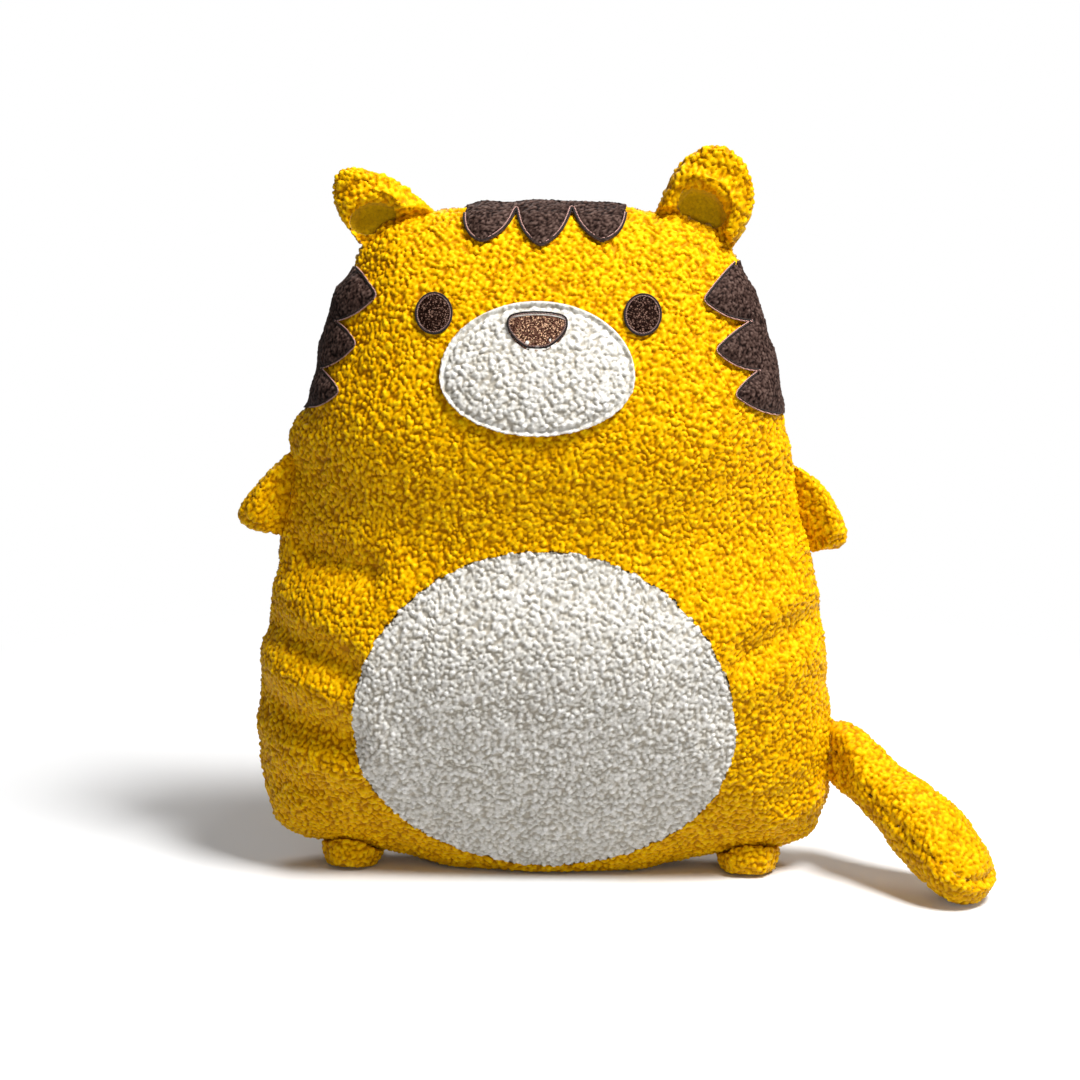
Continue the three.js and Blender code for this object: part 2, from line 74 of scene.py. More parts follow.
class Slot(Enum):
    """The record's material slots."""

    HONEY_BOUCLE = "honey_boucle"
    WHITE_BOUCLE = "white_boucle"
    SHORT_PILE = "brown_short_pile"
    EYE_CLOTH = "dark_embroidery"
    NOSE_CLOTH = "glitter_embroidery"
    EAR_LINING = "pale_ear_lining"
    FILLING = "fibre_filling"


class Side(Enum):
    """A side of the toy, as the viewer sees it."""

    LEFT = -1
    RIGHT = 1

    @property
    def word(self) -> str:
        """The side's name as the nodes have it."""
        return self.name.lower()


# Colour and shader nodes


def colour(code: str) -> tuple[float, float, float, float]:
    """Turns an sRGB hex colour to linear light.

    Args:
        code: The colour, such as "#f2ae12".

    Returns:
        Red, green, blue and a full alpha.
    """
    shares = [int(code[i : i + 2], 16) / 255 for i in (1, 3, 5)]
    linear = [s / 12.92 if s <= 0.04045 else ((s + 0.055) / 1.055) ** 2.4 for s in shares]
    return (*linear, 1.0)


def add(
    tree: bpy.types.NodeTree, kind: str, values: dict | None = None, links: dict | None = None, **settings
) -> bpy.types.Node:
    """Adds one shader node.

    Args:
        tree: The material's nodes.
        kind: The node's type, without its "ShaderNode" start.
        values: Numbers and colours for its input sockets.
        links: Outputs that feed its input sockets.
        **settings: Its own properties.

    Returns:
        The new node.
    """
    made = tree.nodes.new("ShaderNode" + kind)
    for name, value in settings.items():
        setattr(made, name, value)
    for name, value in (values or {}).items():
        made.inputs[name].default_value = value
    for name, source in (links or {}).items():
        tree.links.new(source, made.inputs[name])
    return made


@dataclass
class NodeMaterial:
    """A new material and the nodes that the finishes share; sizes in mm."""

    name: str
    made: Material = field(init=False)
    tree: bpy.types.NodeTree = field(init=False)
    place: Socket = field(init=False)

    def __post_init__(self) -> None:
        """Makes the empty material and the source of places on the object."""
        self.made = bpy.data.materials.new(self.name)
        self.made.use_nodes = True
        self.tree = self.made.node_tree
        self.tree.nodes.clear()
        self.place = add(self.tree, "TexCoord").outputs["Object"]

    def noise(self, size: float, detail: int, roughness: float = 0.5) -> Socket:
        """Adds a noise of a size and gives its strength."""
        values = {"Scale": 1 / (size * MM), "Detail": detail, "Roughness": roughness}
        return add(self.tree, "TexNoise", values, {"Vector": self.place}).outputs["Fac"]

    def ramp(self, source: Socket, *stops: tuple[float, str]) -> Socket:
        """Colours a number.

        Args:
            source: The number.
            *stops: Rising places on the ramp, each with its hex colour.

        Returns:
            The colour.
        """
        made = add(self.tree, "ValToRGB", links={"Fac": source})
        elements = made.color_ramp.elements
        for place, _ in stops[1:-1]:
            elements.new(place)
        for element, (place, code) in zip(elements, stops):
            element.position, element.color = place, colour(code)
        return made.outputs["Color"]

    def spread(
        self, source: Socket, low: float, high: float, start: float = 0.0, end: float = 1.0
    ) -> Socket:
        """Maps a number.

        Args:
            source: The number.
            low: What it becomes at the start.
            high: What it becomes at the end.
            start: Where its own range starts.
            end: Where its own range ends.

        Returns:
            The mapped number.
        """
        values = {"From Min": start, "From Max": end, "To Min": low, "To Max": high}
        return add(self.tree, "MapRange", values, {"Value": source}).outputs[0]

    def times(self, first: Socket, second: Socket) -> Socket:
        """Multiplies two numbers."""
        return add(self.tree, "Math", links={0: first, 1: second}, operation="MULTIPLY").outputs[0]

    def close(self, shader: bpy.types.Node) -> Material:
        """Links a shader to the output and gives the finished material."""
        add(self.tree, "OutputMaterial", links={"Surface": shader.outputs[0]})
        return self.made

    def cloth(self, base: Socket, height: Socket, strength: float, depth: float, shine: dict) -> Material:
        """Closes the material as cloth.

        Args:
            base: Its colour.
            height: Its fine relief, from 0 to 1.
            strength: How strongly the relief shows.
            depth: The relief's depth.
            shine: The values of its shader.

        Returns:
            The finished material.
        """
        values = {"Strength": strength, "Distance": depth * MM}
        relief = add(self.tree, "Bump", values, {"Height": height}).outputs["Normal"]
        return self.close(add(self.tree, "BsdfPrincipled", shine, {"Base Color": base, "Normal": relief}))


@dataclass(frozen=True)
class BoucleFinish:
    """Polyester boucle: a knit whose pile is curled yarn, bright on the curls, with painted shade deep
    between them.
    """

    name: str
    # the crevice and shade colours are painted shade, which deepens between the curls
    crevice: str
    shade: str
    tip: str
    roughness: float = 0.6
    gloss: float = 0.45
    fibre: float = 0.5  # mm, the size of the yarn's loose fibres
    # the patches are painted lighter and darker, as light catches leaning pile
    patch: float = 14.0  # mm, the size of areas where the pile leans one way

    def material(self) -> Material:
        """Builds the cloth, whose colour follows the height of its curls, with painted shade darkening it
        towards the crevices.

        Returns:
            The finished material.
        """
        made = NodeMaterial(self.name)
        height = add(made.tree, "Attribute", attribute_name="curl_height").outputs["Fac"]
        tone = add(made.tree, "Attribute", attribute_name="curl_tone").outputs["Fac"]
        # painted shade: the lower a point lies between the curls, the darker its colour
        pile = made.ramp(height, (0.04, self.crevice), (0.42, self.shade), (0.85, self.tip))
        fibres = made.noise(self.fibre, detail=3, roughness=0.65)
        by_fibre = made.spread(fibres, low=0.8, high=1.12, start=0.3, end=0.7)
        by_curl = made.spread(tone, low=0.88, high=1.06)
        # painted light and shade: broad patches lighter or darker where the pile leans one way
        patches = made.noise(self.patch, detail=2)
        by_lean_shade = made.spread(patches, low=0.93, high=1.05, start=0.3, end=0.7)
        level = made.times(made.times(by_fibre, by_curl), by_lean_shade)
        base = add(made.tree, "HueSaturation", links={"Color": pile, "Value": level}).outputs["Color"]
        tint = colour(self.tip)
        shine = {"Roughness": self.roughness, "Specular IOR Level": self.gloss, "Specular Tint": tint}
        shine |= {"Sheen Weight": 0.15, "Sheen Roughness": 0.5, "Sheen Tint": tint}
        return made.cloth(base, fibres, strength=0.5, depth=0.22, shine=shine)


@dataclass(frozen=True)
class SatinFinish:
    """Satin-stitched polyester edge: dark and nearly matt, with faint flecks where the threads turn; its
    darkness also paints the shade in the gap at a patch's rim.
    """

    name: str
    shade: str
    body: str
    fleck: str
    turn: float = 1.1  # mm, between two turns of the thread
    sheen: float = 0.05

    def material(self) -> Material:
        """Builds the edge, mottled by the turns of its threads.

        Returns:
            The finished material.
        """
        made = NodeMaterial(self.name)
        turns = made.noise(self.turn, detail=4, roughness=0.7)
        base = made.ramp(turns, (0.32, self.shade), (0.5, self.body), (0.72, self.fleck))
        shine = {"Roughness": 0.85, "Sheen Weight": self.sheen, "Sheen Roughness": 0.45}
        return made.cloth(base, turns, strength=0.7, depth=0.5, shine=shine)


@dataclass(frozen=True)
class GlitterFinish:
    """Glitter cloth: a dark ground set with specks of foil, each at its own slant, the brightest painted as
    glints.
    """

    name: str
    ground: str
    foil: str
    # the glint colour is a painted highlight on the brightest specks
    glint: str
    speck: float = 0.55  # mm across one speck, drawn coarser than real to show

    def material(self) -> Material:
        """Builds the cloth from cells that each have their own brightness and slant; the brightest cells
        are painted glints.

        Returns:
            The finished material.
        """
        made = NodeMaterial(self.name)
        cells = add(made.tree, "TexVoronoi", {"Scale": 1 / (self.speck * MM)}, {"Vector": made.place})
        own = add(made.tree, "SeparateColor", links={"Color": cells.outputs["Color"]}).outputs
        # painted highlights: the brightest cells take the glint colour, as if they caught the lamp
        base = made.ramp(own["Red"], (0.35, self.ground), (0.78, self.foil), (0.97, self.glint))
        shine = {"Roughness": 0.55, "Specular IOR Level": 0.3, "Specular Tint": colour(self.foil)}
        return made.cloth(base, own["Green"], strength=0.8, depth=0.3, shine=shine)


@dataclass(frozen=True)
class ThreadFinish:
    """Polyester embroidery thread: close slanted stitches with a silky shine."""

    name: str
    dark: str
    light: str
    stitch: float = 0.8  # mm from one stitch to the next, drawn coarser than real to show
    slant: tuple[float, float, float] = (0.6, 0.9, 0.5)  # radians

    def material(self) -> Material:
        """Builds the thread from slanted bands.

        Returns:
            The finished material.
        """
        made = NodeMaterial(self.name)
        turned = add(made.tree, "Mapping", {"Rotation": self.slant}, {"Vector": made.place})
        # a wave of scale 1 has 20 bands in 2 pi
        waves = {"Scale": 2 * math.pi / (20 * self.stitch * MM), "Distortion": 1.5, "Detail": 1}
        bands = add(made.tree, "TexWave", waves, {"Vector": turned.outputs["Vector"]}).outputs["Fac"]
        base = made.ramp(bands, (0.1, self.dark), (0.75, self.light))
        shine = {"Roughness": 0.45, "Sheen Weight": 0.2}
        return made.cloth(base, bands, strength=0.6, depth=0.2, shine=shine)


@dataclass(frozen=True)
class PlainClothFinish:
    """Knitted or felted polyester without curls: fine grain and a soft bloom."""

    name: str
    dark: str
    light: str
    grain: float = 0.7  # mm
    relief: float = 0.25  # mm
    bloom: float = 0.3

    def material(self) -> Material:
        """Builds the cloth from fine noise.

        Returns:
            The finished material.
        """
        made = NodeMaterial(self.name)
        grain = made.noise(self.grain, detail=5, roughness=0.7)
        base = made.ramp(grain, (0.3, self.dark), (0.7, self.light))
        shine = {"Roughness": 0.8, "Sheen Weight": self.bloom, "Specular IOR Level": self.bloom}
        return made.cloth(base, grain, strength=0.5, depth=self.relief, shine=shine)


Finish = BoucleFinish | SatinFinish | GlitterFinish | ThreadFinish | PlainClothFinish


def made_from(finish: Finish) -> Material:
    """Declares a field whose material is made from a finish, together with the wardrobe."""
    return field(default_factory=finish.material)


@dataclass
class Wardrobe:
    """All finishes of the toy, each made once."""

    # gives the toy its warm yellow: glossy curls with amber shade painted between them
    honey: Material = made_from(
        BoucleFinish("honey_boucle", "#b87800", "#eaa900", "#ffcf10", roughness=0.45, gloss=0.5)
    )
    # gives the belly and the muzzle their chalky white curls, with grey shade painted into the crevices
    white: Material = made_from(BoucleFinish("white_boucle", "#b9b1a2", "#dbd7ce", "#f5f3ef", fibre=0.6))
    # gives the stripes a dark, matt brown with small, flat tufts that the curls beside them lack, and
    # near-black shade painted between the tufts
    pile: Material = made_from(
        BoucleFinish("brown_short_pile", "#0e0605", "#3a2a25", "#67534b", gloss=0.3)
    )
    # gives the eyes their near black with a few dull painted glints
    eye: Material = made_from(GlitterFinish("dark_glitter_cloth", "#100603", "#2c1913", "#86685a"))
    # gives the nose its coppery glitter, with painted glints on the brightest specks
    nose: Material = made_from(GlitterFinish("brown_glitter_cloth", "#2e1a14", "#7d5646", "#e8bf98"))
    # gives the stripes their thin pale rim of stitches
    outline: Material = made_from(ThreadFinish("rose_brown_thread", "#6d453c", "#c99a8e"))
    # gives the eyes and the nose a darker rim, which sets them off from the cloth around them
    dark_outline: Material = made_from(ThreadFinish("dark_brown_thread", "#2a1611", "#8f675b"))
    # gives each sewn-on patch a dark edge, like a line drawn round it, which also paints the shade in the
    # gap at its rim
    edge: Material = made_from(SatinFinish("dark_satin_edge", "#080302", "#130906", "#261611"))
    # gives the cups of the ears a smooth yellow against the curly rims, darkened to a dull yellow by
    # painted shade
    lining: Material = made_from(
        PlainClothFinish("pale_minky_lining", "#a07800", "#dcb400", grain=1.6, relief=0.4, bloom=0.08)
    )
    # gives the cut edges in the seams a plain yellow, so that no gap looks white
    honey_backing: Material = made_from(PlainClothFinish("honey_knit_backing", "#b98a1e", "#e3b53c"))
    # gives the belly's cut edge a plain white
    white_backing: Material = made_from(PlainClothFinish("white_knit_backing", "#cfcbc3", "#ebe8e2"))
    # gives the stuffing, which only a cut would show, its loose white look
    fibre: Material = made_from(
        PlainClothFinish("polyester_fibre_fill", "#dcd9d0", "#ffffff", grain=3.0, relief=1.5)
    )


# Meshes


def pick(*objects: Mesh) -> None:
    """Selects only the given objects and makes the first one active.

    Args:
        *objects: The objects.
    """
    bpy.ops.object.select_all(action="DESELECT")
    for obj in objects:
        obj.select_set(True)
    bpy.context.view_layer.objects.active = objects[0]


@contextmanager
def editing(obj: Mesh) -> Iterator[None]:
    """Opens a mesh for editing with all of it selected, and closes it again.

    Args:
        obj: The mesh.

    Yields:
        Nothing; the edits are made in the block.
    """
    pick(obj)
    bpy.ops.object.mode_set(mode="EDIT")
    bpy.ops.mesh.select_all(action="SELECT")
    yield
    bpy.ops.object.mode_set(mode="OBJECT")


def turn_outwards(obj: Mesh) -> None:
    """Turns all faces of a closed mesh outwards."""
    with editing(obj):
        bpy.ops.mesh.normals_make_consistent(inside=False)


def numbers_of(items: bpy.types.bpy_prop_collection, name: str, kind: type, width: int = 1) -> np.ndarray:
    """Reads one property of all points, faces or corners of a mesh.

    Args:
        items: The points, faces or corners.
        name: The property.
        kind: The type of its numbers.
        width: How many numbers each item has.

    Returns:
        All numbers in one row.
    """
    flat = np.empty(len(items) * width, kind)
    items.foreach_get(name, flat)
    return flat


def places(obj: Mesh) -> Places:
    """Gives a mesh's points, one row each, in metres."""
    return numbers_of(obj.data.vertices, "co", np.float32, 3).reshape(-1, 3).astype(float)


def outward(obj: Mesh) -> Places:
    """Gives a mesh's point normals, one row each."""
    return numbers_of(obj.data.vertex_normals, "vector", np.float32, 3).reshape(-1, 3).astype(float)


def put_places(obj: Mesh, points: Places) -> None:
    """Writes a mesh's points back."""
    obj.data.vertices.foreach_set("co", points.astype(np.float32).ravel())
    obj.data.update()


def note(obj: Mesh, name: str, values: np.ndarray) -> None:
    """Keeps one number for each point of a mesh under a name."""
    attribute = obj.data.attributes.get(name) or obj.data.attributes.new(name, "FLOAT", "POINT")
    attribute.data.foreach_set("value", values.astype(np.float32))


def tree_of(obj: Mesh) -> BVHTree:
    """Builds a search tree over a mesh."""
    corners = [v.co.copy() for v in obj.data.vertices]
    return BVHTree.FromPolygons(corners, [p.vertices[:] for p in obj.data.polygons])


def twin(obj: Mesh, name: str) -> Mesh:
    """Copies an object with its own mesh, free of any body.

    Args:
        obj: The object to copy.
        name: The copy's name.

    Returns:
        The copy, linked to the scene.
    """
    made = obj.copy()
    made.data = obj.data.copy()
    made.name = name
    made.parent = None
    for key in list(made.keys()):
        del made[key]
    bpy.context.scene.collection.objects.link(made)
    return made


def joined_copy(name: str, nodes: Sequence[str]) -> Mesh:
    """Joins copies of CAD nodes into one object with shared points merged.

    Args:
        name: The new object's name.
        nodes: The nodes to copy.

    Returns:
        The joined object.
    """
    copies = [twin(frame["nodes"][node], name) for node in nodes]
    pick(*copies)
    bpy.ops.object.join()
    made = bpy.context.active_object
    made.data.materials.clear()
    with editing(made):
        bpy.ops.mesh.remove_doubles(threshold=0.01 * MM)
    return made


def finish_with(obj: Mesh, kind: str, **settings) -> None:
    """Adds a modifier to an object and applies it.

    Args:
        obj: The object.
        kind: The modifier's type.
        **settings: The modifier's properties.
    """
    pick(obj)
    bpy.ops.object.modifier_add(type=kind)
    modifier = obj.modifiers[-1]
    for name, value in settings.items():
        setattr(modifier, name, value)
    bpy.ops.object.modifier_apply(modifier=modifier.name)


def remesh(obj: Mesh, size: float) -> None:
    """Rebuilds a closed mesh from voxels.

    Args:
        obj: The mesh.
        size: The size of a voxel, in mm.
    """
    pick(obj)
    obj.data.remesh_voxel_size = size * MM
    bpy.ops.object.voxel_remesh()


def combine(obj: Mesh, other: Mesh, operation: str) -> None:
    """Cuts or crosses a closed mesh with another one, which is used up.

    Args:
        obj: The mesh that changes.
        other: The mesh that it meets.
        operation: DIFFERENCE or INTERSECT.
    """
    finish_with(obj, "BOOLEAN", operation=operation, solver="MANIFOLD", object=other)
    bpy.data.objects.remove(other)


def thickened(obj: Mesh, name: str, distance: float) -> Mesh:
    """Copies a closed mesh with its points moved outwards.

    Args:
        obj: The mesh.
        name: The copy's name.
        distance: How far, in mm.

    Returns:
        The copy.
    """
    made = twin(obj, name)
    put_places(made, places(made) + outward(made) * distance * MM)
    return made


def prism(outline: Places, near: float, far: float) -> Mesh:
    """Extrudes a front-view outline along Y.

    Args:
        outline: Rows of x and z, in mm.
        near: Where it starts in y, in mm.
        far: Where it ends in y, in mm.

    Returns:
        The closed prism.
    """
    bpy.ops.object.select_all(action="DESELECT")
    bpy.ops.mesh.primitive_circle_add(vertices=len(outline), fill_type="NGON")
    made = bpy.context.active_object
    flat = np.column_stack([outline[:, 0], np.full(len(outline), near), outline[:, 1]])
    put_places(made, flat * MM)
    with editing(made):
        bpy.ops.mesh.extrude_region_move(TRANSFORM_OT_translate={"value": (0, (far - near) * MM, 0)})
        bpy.ops.mesh.select_all(action="SELECT")
        bpy.ops.mesh.normals_make_consistent(inside=False)
    return made


def side_prism(outline: Places, half_width: float = 400.0) -> Mesh:
    """Extrudes a side-view outline across the toy's width.

    Args:
        outline: Rows of y and z, in mm.
        half_width: How far it reaches to either side, in mm.

    Returns:
        The closed prism.
    """
    made = prism(outline, -half_width, half_width)
    put_places(made, places(made)[:, [1, 0, 2]])
    turn_outwards(made)
    return made


def paint(obj: Mesh, *materials: Material) -> None:
    """Gives an object its material slots.

    Args:
        obj: The object.
        *materials: Their materials, in order.
    """
    obj.data.materials.clear()
    for material in materials:
        obj.data.materials.append(material)


def faced(obj: Mesh, index: int) -> Mesh:
    """Gives an object the slots of curly cloth and its backing, and all its faces one of the two.

    Args:
        obj: The object.
        index: PILE or BACKING.

    Returns:
        The same object.
    """
    paint(obj, bpy.data.materials["honey_boucle"], bpy.data.materials["honey_knit_backing"])
    obj.data.polygons.foreach_set("material_index", np.full(len(obj.data.polygons), index, np.int32))
    return obj


def in_pile(obj: Mesh) -> np.ndarray:
    """Finds the points of a mesh that belong to a face of the curly side.

    Args:
        obj: The mesh.

    Returns:
        True or false for each point.
    """
    slots = numbers_of(obj.data.polygons, "material_index", np.int32)
    totals = numbers_of(obj.data.polygons, "loop_total", np.int32)
    corners = numbers_of(obj.data.loops, "vertex_index", np.int32)
    found = np.zeros(len(obj.data.vertices), bool)
    found[corners[np.repeat(slots == PILE, totals)]] = True
    return found


def refine_pile(obj: Mesh, cuts: int) -> None:
    """Subdivides the faces of a cover's curly side, and leaves the backing coarse.

    Args:
        obj: The closed cover.
        cuts: New points on each edge.
    """
    with editing(obj):
        bpy.ops.mesh.select_mode(type="FACE")
        bpy.ops.mesh.select_all(action="DESELECT")
        bpy.ops.mesh.select_face_by_sides(number=4, type="GREATER", extend=False)
        bpy.ops.mesh.quads_convert_to_tris(quad_method="BEAUTY", ngon_method="BEAUTY")
        bpy.ops.mesh.select_all(action="DESELECT")
        obj.active_material_index = PILE
        bpy.ops.object.material_slot_select()
        bpy.ops.mesh.subdivide(number_cuts=cuts)


# Outlines and noise


def smooth_loop(points: Table, steps: int = 6) -> Places:
    """Runs a closed curve through points.

    Args:
        points: Pairs of x and z, in mm.
        steps: Points on each span.

    Returns:
        Rows of x and z, in mm.
    """
    knots = np.array(points, float)
    before, after, beyond = (np.roll(knots, shift, axis=0) for shift in (1, -1, -2))
    rows = []
    for i in range(len(knots)):
        for t in np.linspace(0, 1, steps, endpoint=False):
            square = 2 * before[i] - 5 * knots[i] + 4 * after[i] - beyond[i]
            cube = 3 * knots[i] - before[i] - 3 * after[i] + beyond[i]
            rows.append(0.5 * (2 * knots[i] + (after[i] - before[i]) * t + square * t**2 + cube * t**3))
    return np.array(rows)


def ellipse(
    centre: tuple[float, float], half_width: float, rise: float, drop: float, count: int = 96
) -> Places:
    """Draws an egg-shaped outline.

    Args:
        centre: The middle of its widest line, x and z in mm.
        half_width: In mm.
        rise: Its height above that line, in mm.
        drop: Its depth below that line, in mm.
        count: The number of points.

    Returns:
        Rows of x and z, in mm.
    """
    turn = np.linspace(0, 2 * math.pi, count, endpoint=False)
    height = np.where(np.sin(turn) > 0, rise, drop)
    return np.column_stack([centre[0] + half_width * np.cos(turn), centre[1] + height * np.sin(turn)])


def inset_line(line: Places, distance: float, closed: bool) -> Places:
    """Moves a line to its inner side.

    Args:
        line: Rows of x and z, in mm, anticlockwise seen from the front.
        distance: How far, in mm.
        closed: Whether the line closes on itself.

    Returns:
        The moved line.
    """
    if closed:
        along = np.roll(line, -1, axis=0) - np.roll(line, 1, axis=0)
        area = np.sum(line[:, 0] * np.roll(line[:, 1], -1) - np.roll(line[:, 0], -1) * line[:, 1])
        sign = 1 if area > 0 else -1
    else:
        along = np.gradient(line, axis=0)
        sign = 1
    along /= np.maximum(np.linalg.norm(along, axis=1, keepdims=True), 1e-9)
    return line + sign * distance * np.column_stack([-along[:, 1], along[:, 0]])


def distance_to(points: Places, line: Places, closed: bool = True) -> np.ndarray:
    """Measures how far points lie from a line of segments.

    Args:
        points: Rows of two coordinates.
        line: The line's corners, in the same two coordinates.
        closed: Whether the last corner joins the first.

    Returns:
        One distance for each point.
    """
    ends = np.roll(line, -1, axis=0) if closed else line[1:]
    starts = line if closed else line[:-1]
    best = np.full(len(points), np.inf)
    for start, end in zip(starts, ends):
        way = end - start
        share = np.clip(((points - start) @ way) / max(way @ way, 1e-12), 0, 1)
        best = np.minimum(best, np.linalg.norm(points - start - share[:, None] * way, axis=1))
    return best


def bell(distance: np.ndarray, width: float) -> np.ndarray:
    """Falls smoothly from 1 at no distance to nothing at a few widths."""
    return np.exp(-((distance / width) ** 2))


def step_up(value: np.ndarray, low: float, high: float) -> np.ndarray:
    """Rises smoothly from 0 at low to 1 at high."""
    share = np.clip((value - low) / (high - low), 0, 1)
    return share * share * (3 - 2 * share)


def looked_up(at: np.ndarray, table: Table) -> np.ndarray:
    """Reads a table of places and their values at other places."""
    return np.interp(at, *np.array(table).T)


def scattered(cells: np.ndarray, seed: int) -> np.ndarray:
    """Gives each cell of a grid its own numbers from 0 to 1.

    Args:
        cells: Rows of three whole numbers.
        seed: Another seed gives other numbers.

    Returns:
        Rows of four numbers.
    """
    mixed = cells[:, 0] * 73856093 ^ cells[:, 1] * 19349663 ^ cells[:, 2] * 83492791
    columns = []
    for k in range(4):
        value = (mixed + (seed * 4 + k + 1) * 2654435761) & 0xFFFFFFFF
        for _ in range(2):
            value = ((value ^ (value >> 16)) * 73244475) & 0xFFFFFFFF
        columns.append(((value ^ (value >> 16)) & 0xFFFFFF) / 0xFFFFFF)
    return np.column_stack(columns)


# turns the rows of knobs away from the toy's own directions, so that no rows show in the pile
ASKEW = np.array(
    Matrix.Rotation(0.61, 3, "X") @ Matrix.Rotation(0.47, 3, "Y") @ Matrix.Rotation(0.83, 3, "Z")
)


def knobs(points: Places, size: float, seed: int) -> tuple[np.ndarray, np.ndarray]:
    """Finds the nearest of many scattered knobs.

    Args:
        points: Rows of x, y and z, in mm.
        size: The spacing of the knobs, in mm.
        seed: Another seed gives other places.

    Returns:
        The distance to the nearest knob, over the spacing, and the knob's own number.
    """
    scaled = points @ ASKEW / size
    cell = np.floor(scaled).astype(np.int64)
    nearest = np.full(len(points), np.inf)
    own = np.zeros(len(points))
    for step in product((-1, 0, 1), repeat=3):
        corner = cell + np.array(step)
        numbers = scattered(corner, seed)
        gap = np.linalg.norm(corner + 0.1 + 0.8 * numbers[:, :3] - scaled, axis=1)
        closer = gap < nearest
        nearest = np.where(closer, gap, nearest)
        own = np.where(closer, numbers[:, 3], own)
    return nearest, own


@dataclass(frozen=True)
class CurlPile:
    """The curls of a boucle pile; sizes in mm."""

    curl: float = 2.85  # across one curl
    height: float = 2.0
    level: float = 0.5  # share of the height that lies below the cloth's skin
    seed: int = 1
    sway: float = 0.42  # how far whole rows of curls wander
    shiver: float = 0.12  # how far the edge of one curl wanders
    layers: Table = ((1.0, 1.0), (0.8, 0.72))  # size and height of the curls in each layer, as shares
    layer_shift: float = 31.7  # keeps the curls of one layer away from the other's
    dimple: float = 0.2  # share of the height that the middle of some curls is sunk

    def relief(self, points: Places) -> tuple[np.ndarray, np.ndarray]:
        """Works out how high the pile stands.

        Args:
            points: Rows of x, y and z, in mm.

        Returns:
            The height from 0 to 1, and a number for each curl from 0 to 1.
        """
        wide, tight = 1.6 / self.curl, 5.0 / self.curl
        bent = points + self.sway * np.sin(points[:, [1, 2, 0]] * wide + self.seed)
        bent += self.shiver * np.sin(points[:, [2, 0, 1]] * tight)
        height = np.zeros(len(points))
        tone = np.full(len(points), 0.5)
        for layer, (share, rise) in enumerate(self.layers):
            near, own = knobs(bent + self.layer_shift * layer, self.curl * share, self.seed + layer)
            other = (own * 7.3) % 1
            radius = 0.5 + 0.12 * other
            knot = np.sqrt(np.clip(1 - (near / radius) ** 2, 0, 1)) * (0.6 + 0.4 * own) * rise
            knot -= self.dimple * bell(near, 0.16) * (other > 0.7)
            higher = knot > height
            height = np.where(higher, knot, height)
            tone = np.where(higher, other, tone)
        return np.clip(height, 0, 1), tone

    def raise_on(self, obj: Mesh, amount: np.ndarray) -> None:
        """Raises the curls on a mesh, and notes their height and tone on its points.

        Args:
            obj: The mesh.
            amount: For each point, how much of the pile stands there.
        """
        points = places(obj)
        standing = amount > 0.001
        height = np.full(len(points), 0.6)
        tone = np.full(len(points), 0.5)
        height[standing], tone[standing] = self.relief(points[standing] / MM)
        rise = (height - self.level) * self.height * amount
        put_places(obj, points + outward(obj) * rise[:, None] * MM)
        note(obj, "curl_height", height)
        note(obj, "curl_tone", tone)


# Padded forms


def inflate(obj: Mesh, held: np.ndarray, limit: float, pressure: float = 4.0, frames: int = 20) -> None:
    """Swells a closed mesh as cloth under pressure.

    Args:
        obj: The closed mesh.
        held: For each point, how firmly it is held, from 0 to 1.
        limit: How far a point may move, in mm.
        pressure: The pressure inside.
        frames: How long the cloth moves.
    """
    before = places(obj)
    group = obj.vertex_groups.new(name="held")
    for i in np.flatnonzero(held > 0.01):
        group.add([int(i)], float(held[i]), "REPLACE")
    pick(obj)
    bpy.ops.object.modifier_add(type="CLOTH")
    modifier = obj.modifiers[-1]
    cloth = modifier.settings
    cloth.use_pressure = True
    cloth.uniform_pressure_force = pressure
    cloth.vertex_group_mass = "held"
    cloth.effector_weights.gravity = 0
    modifier.point_cache.frame_start = 1
    modifier.point_cache.frame_end = frames
    for number in range(1, frames + 1):
        bpy.context.scene.frame_set(number)
    bpy.ops.object.modifier_apply(modifier=modifier.name)
    bpy.context.scene.frame_set(1)
    move = places(obj) - before
    length = np.linalg.norm(move, axis=1, keepdims=True)
    put_places(obj, before + move * np.minimum(1, limit * MM / np.maximum(length, 1e-9)))
    obj.vertex_groups.clear()


def sink(obj: Mesh, depth: float, share: float) -> None:
    """Moves a closed mesh's points inwards, and less where it is thin.

    Args:
        obj: The mesh.
        depth: How far, in mm.
        share: The most of the local thickness that a point may move.
    """
    tree = tree_of(obj)
    points, normals = places(obj), outward(obj)
    across = [
        tree.ray_cast(Vector(p - 0.02 * MM * n), Vector(-n))[3] or 0.0 for p, n in zip(points, normals)
    ]
    move = np.minimum(depth * MM, share * np.array(across))
    put_places(obj, points - normals * move[:, None])


def shell(skin: Mesh, name: str, wall: float, inner: Mesh | None = None) -> Mesh:
    """Makes a closed skin into a cover of a given thickness, which is thinner where the form is thin.

    Args:
        skin: The closed outer skin, which stays as it is.
        name: The cover's name.
        wall: The thickness, in mm.
        inner: A coarser copy of the skin for the inner side, if there is one.

    Returns:
        The cover, curly outside and backed inside.
    """
    made = faced(twin(skin, name), PILE)
    hollow = twin(inner or skin, name + "_hollow")
    sink(hollow, wall, share=0.36)
    combine(made, faced(hollow, BACKING), "DIFFERENCE")
    return made


def split(cover: Mesh, names: Sequence[str], spaces: Sequence[Mesh]) -> tuple[Mesh, Mesh]:
    """Cuts a cover in two at a seam.

    Args:
        cover: The closed cover, which becomes the second piece.
        names: The names of the piece in front of the seam and the one behind it.
        spaces: The space that holds the first piece, and the one that the second keeps out of.

    Returns:
        The two pieces.
    """
    first = twin(cover, names[0])
    combine(first, faced(spaces[0], BACKING), "INTERSECT")
    cover.name = names[1]
    combine(cover, faced(spaces[1], BACKING), "DIFFERENCE")
    return first, cover


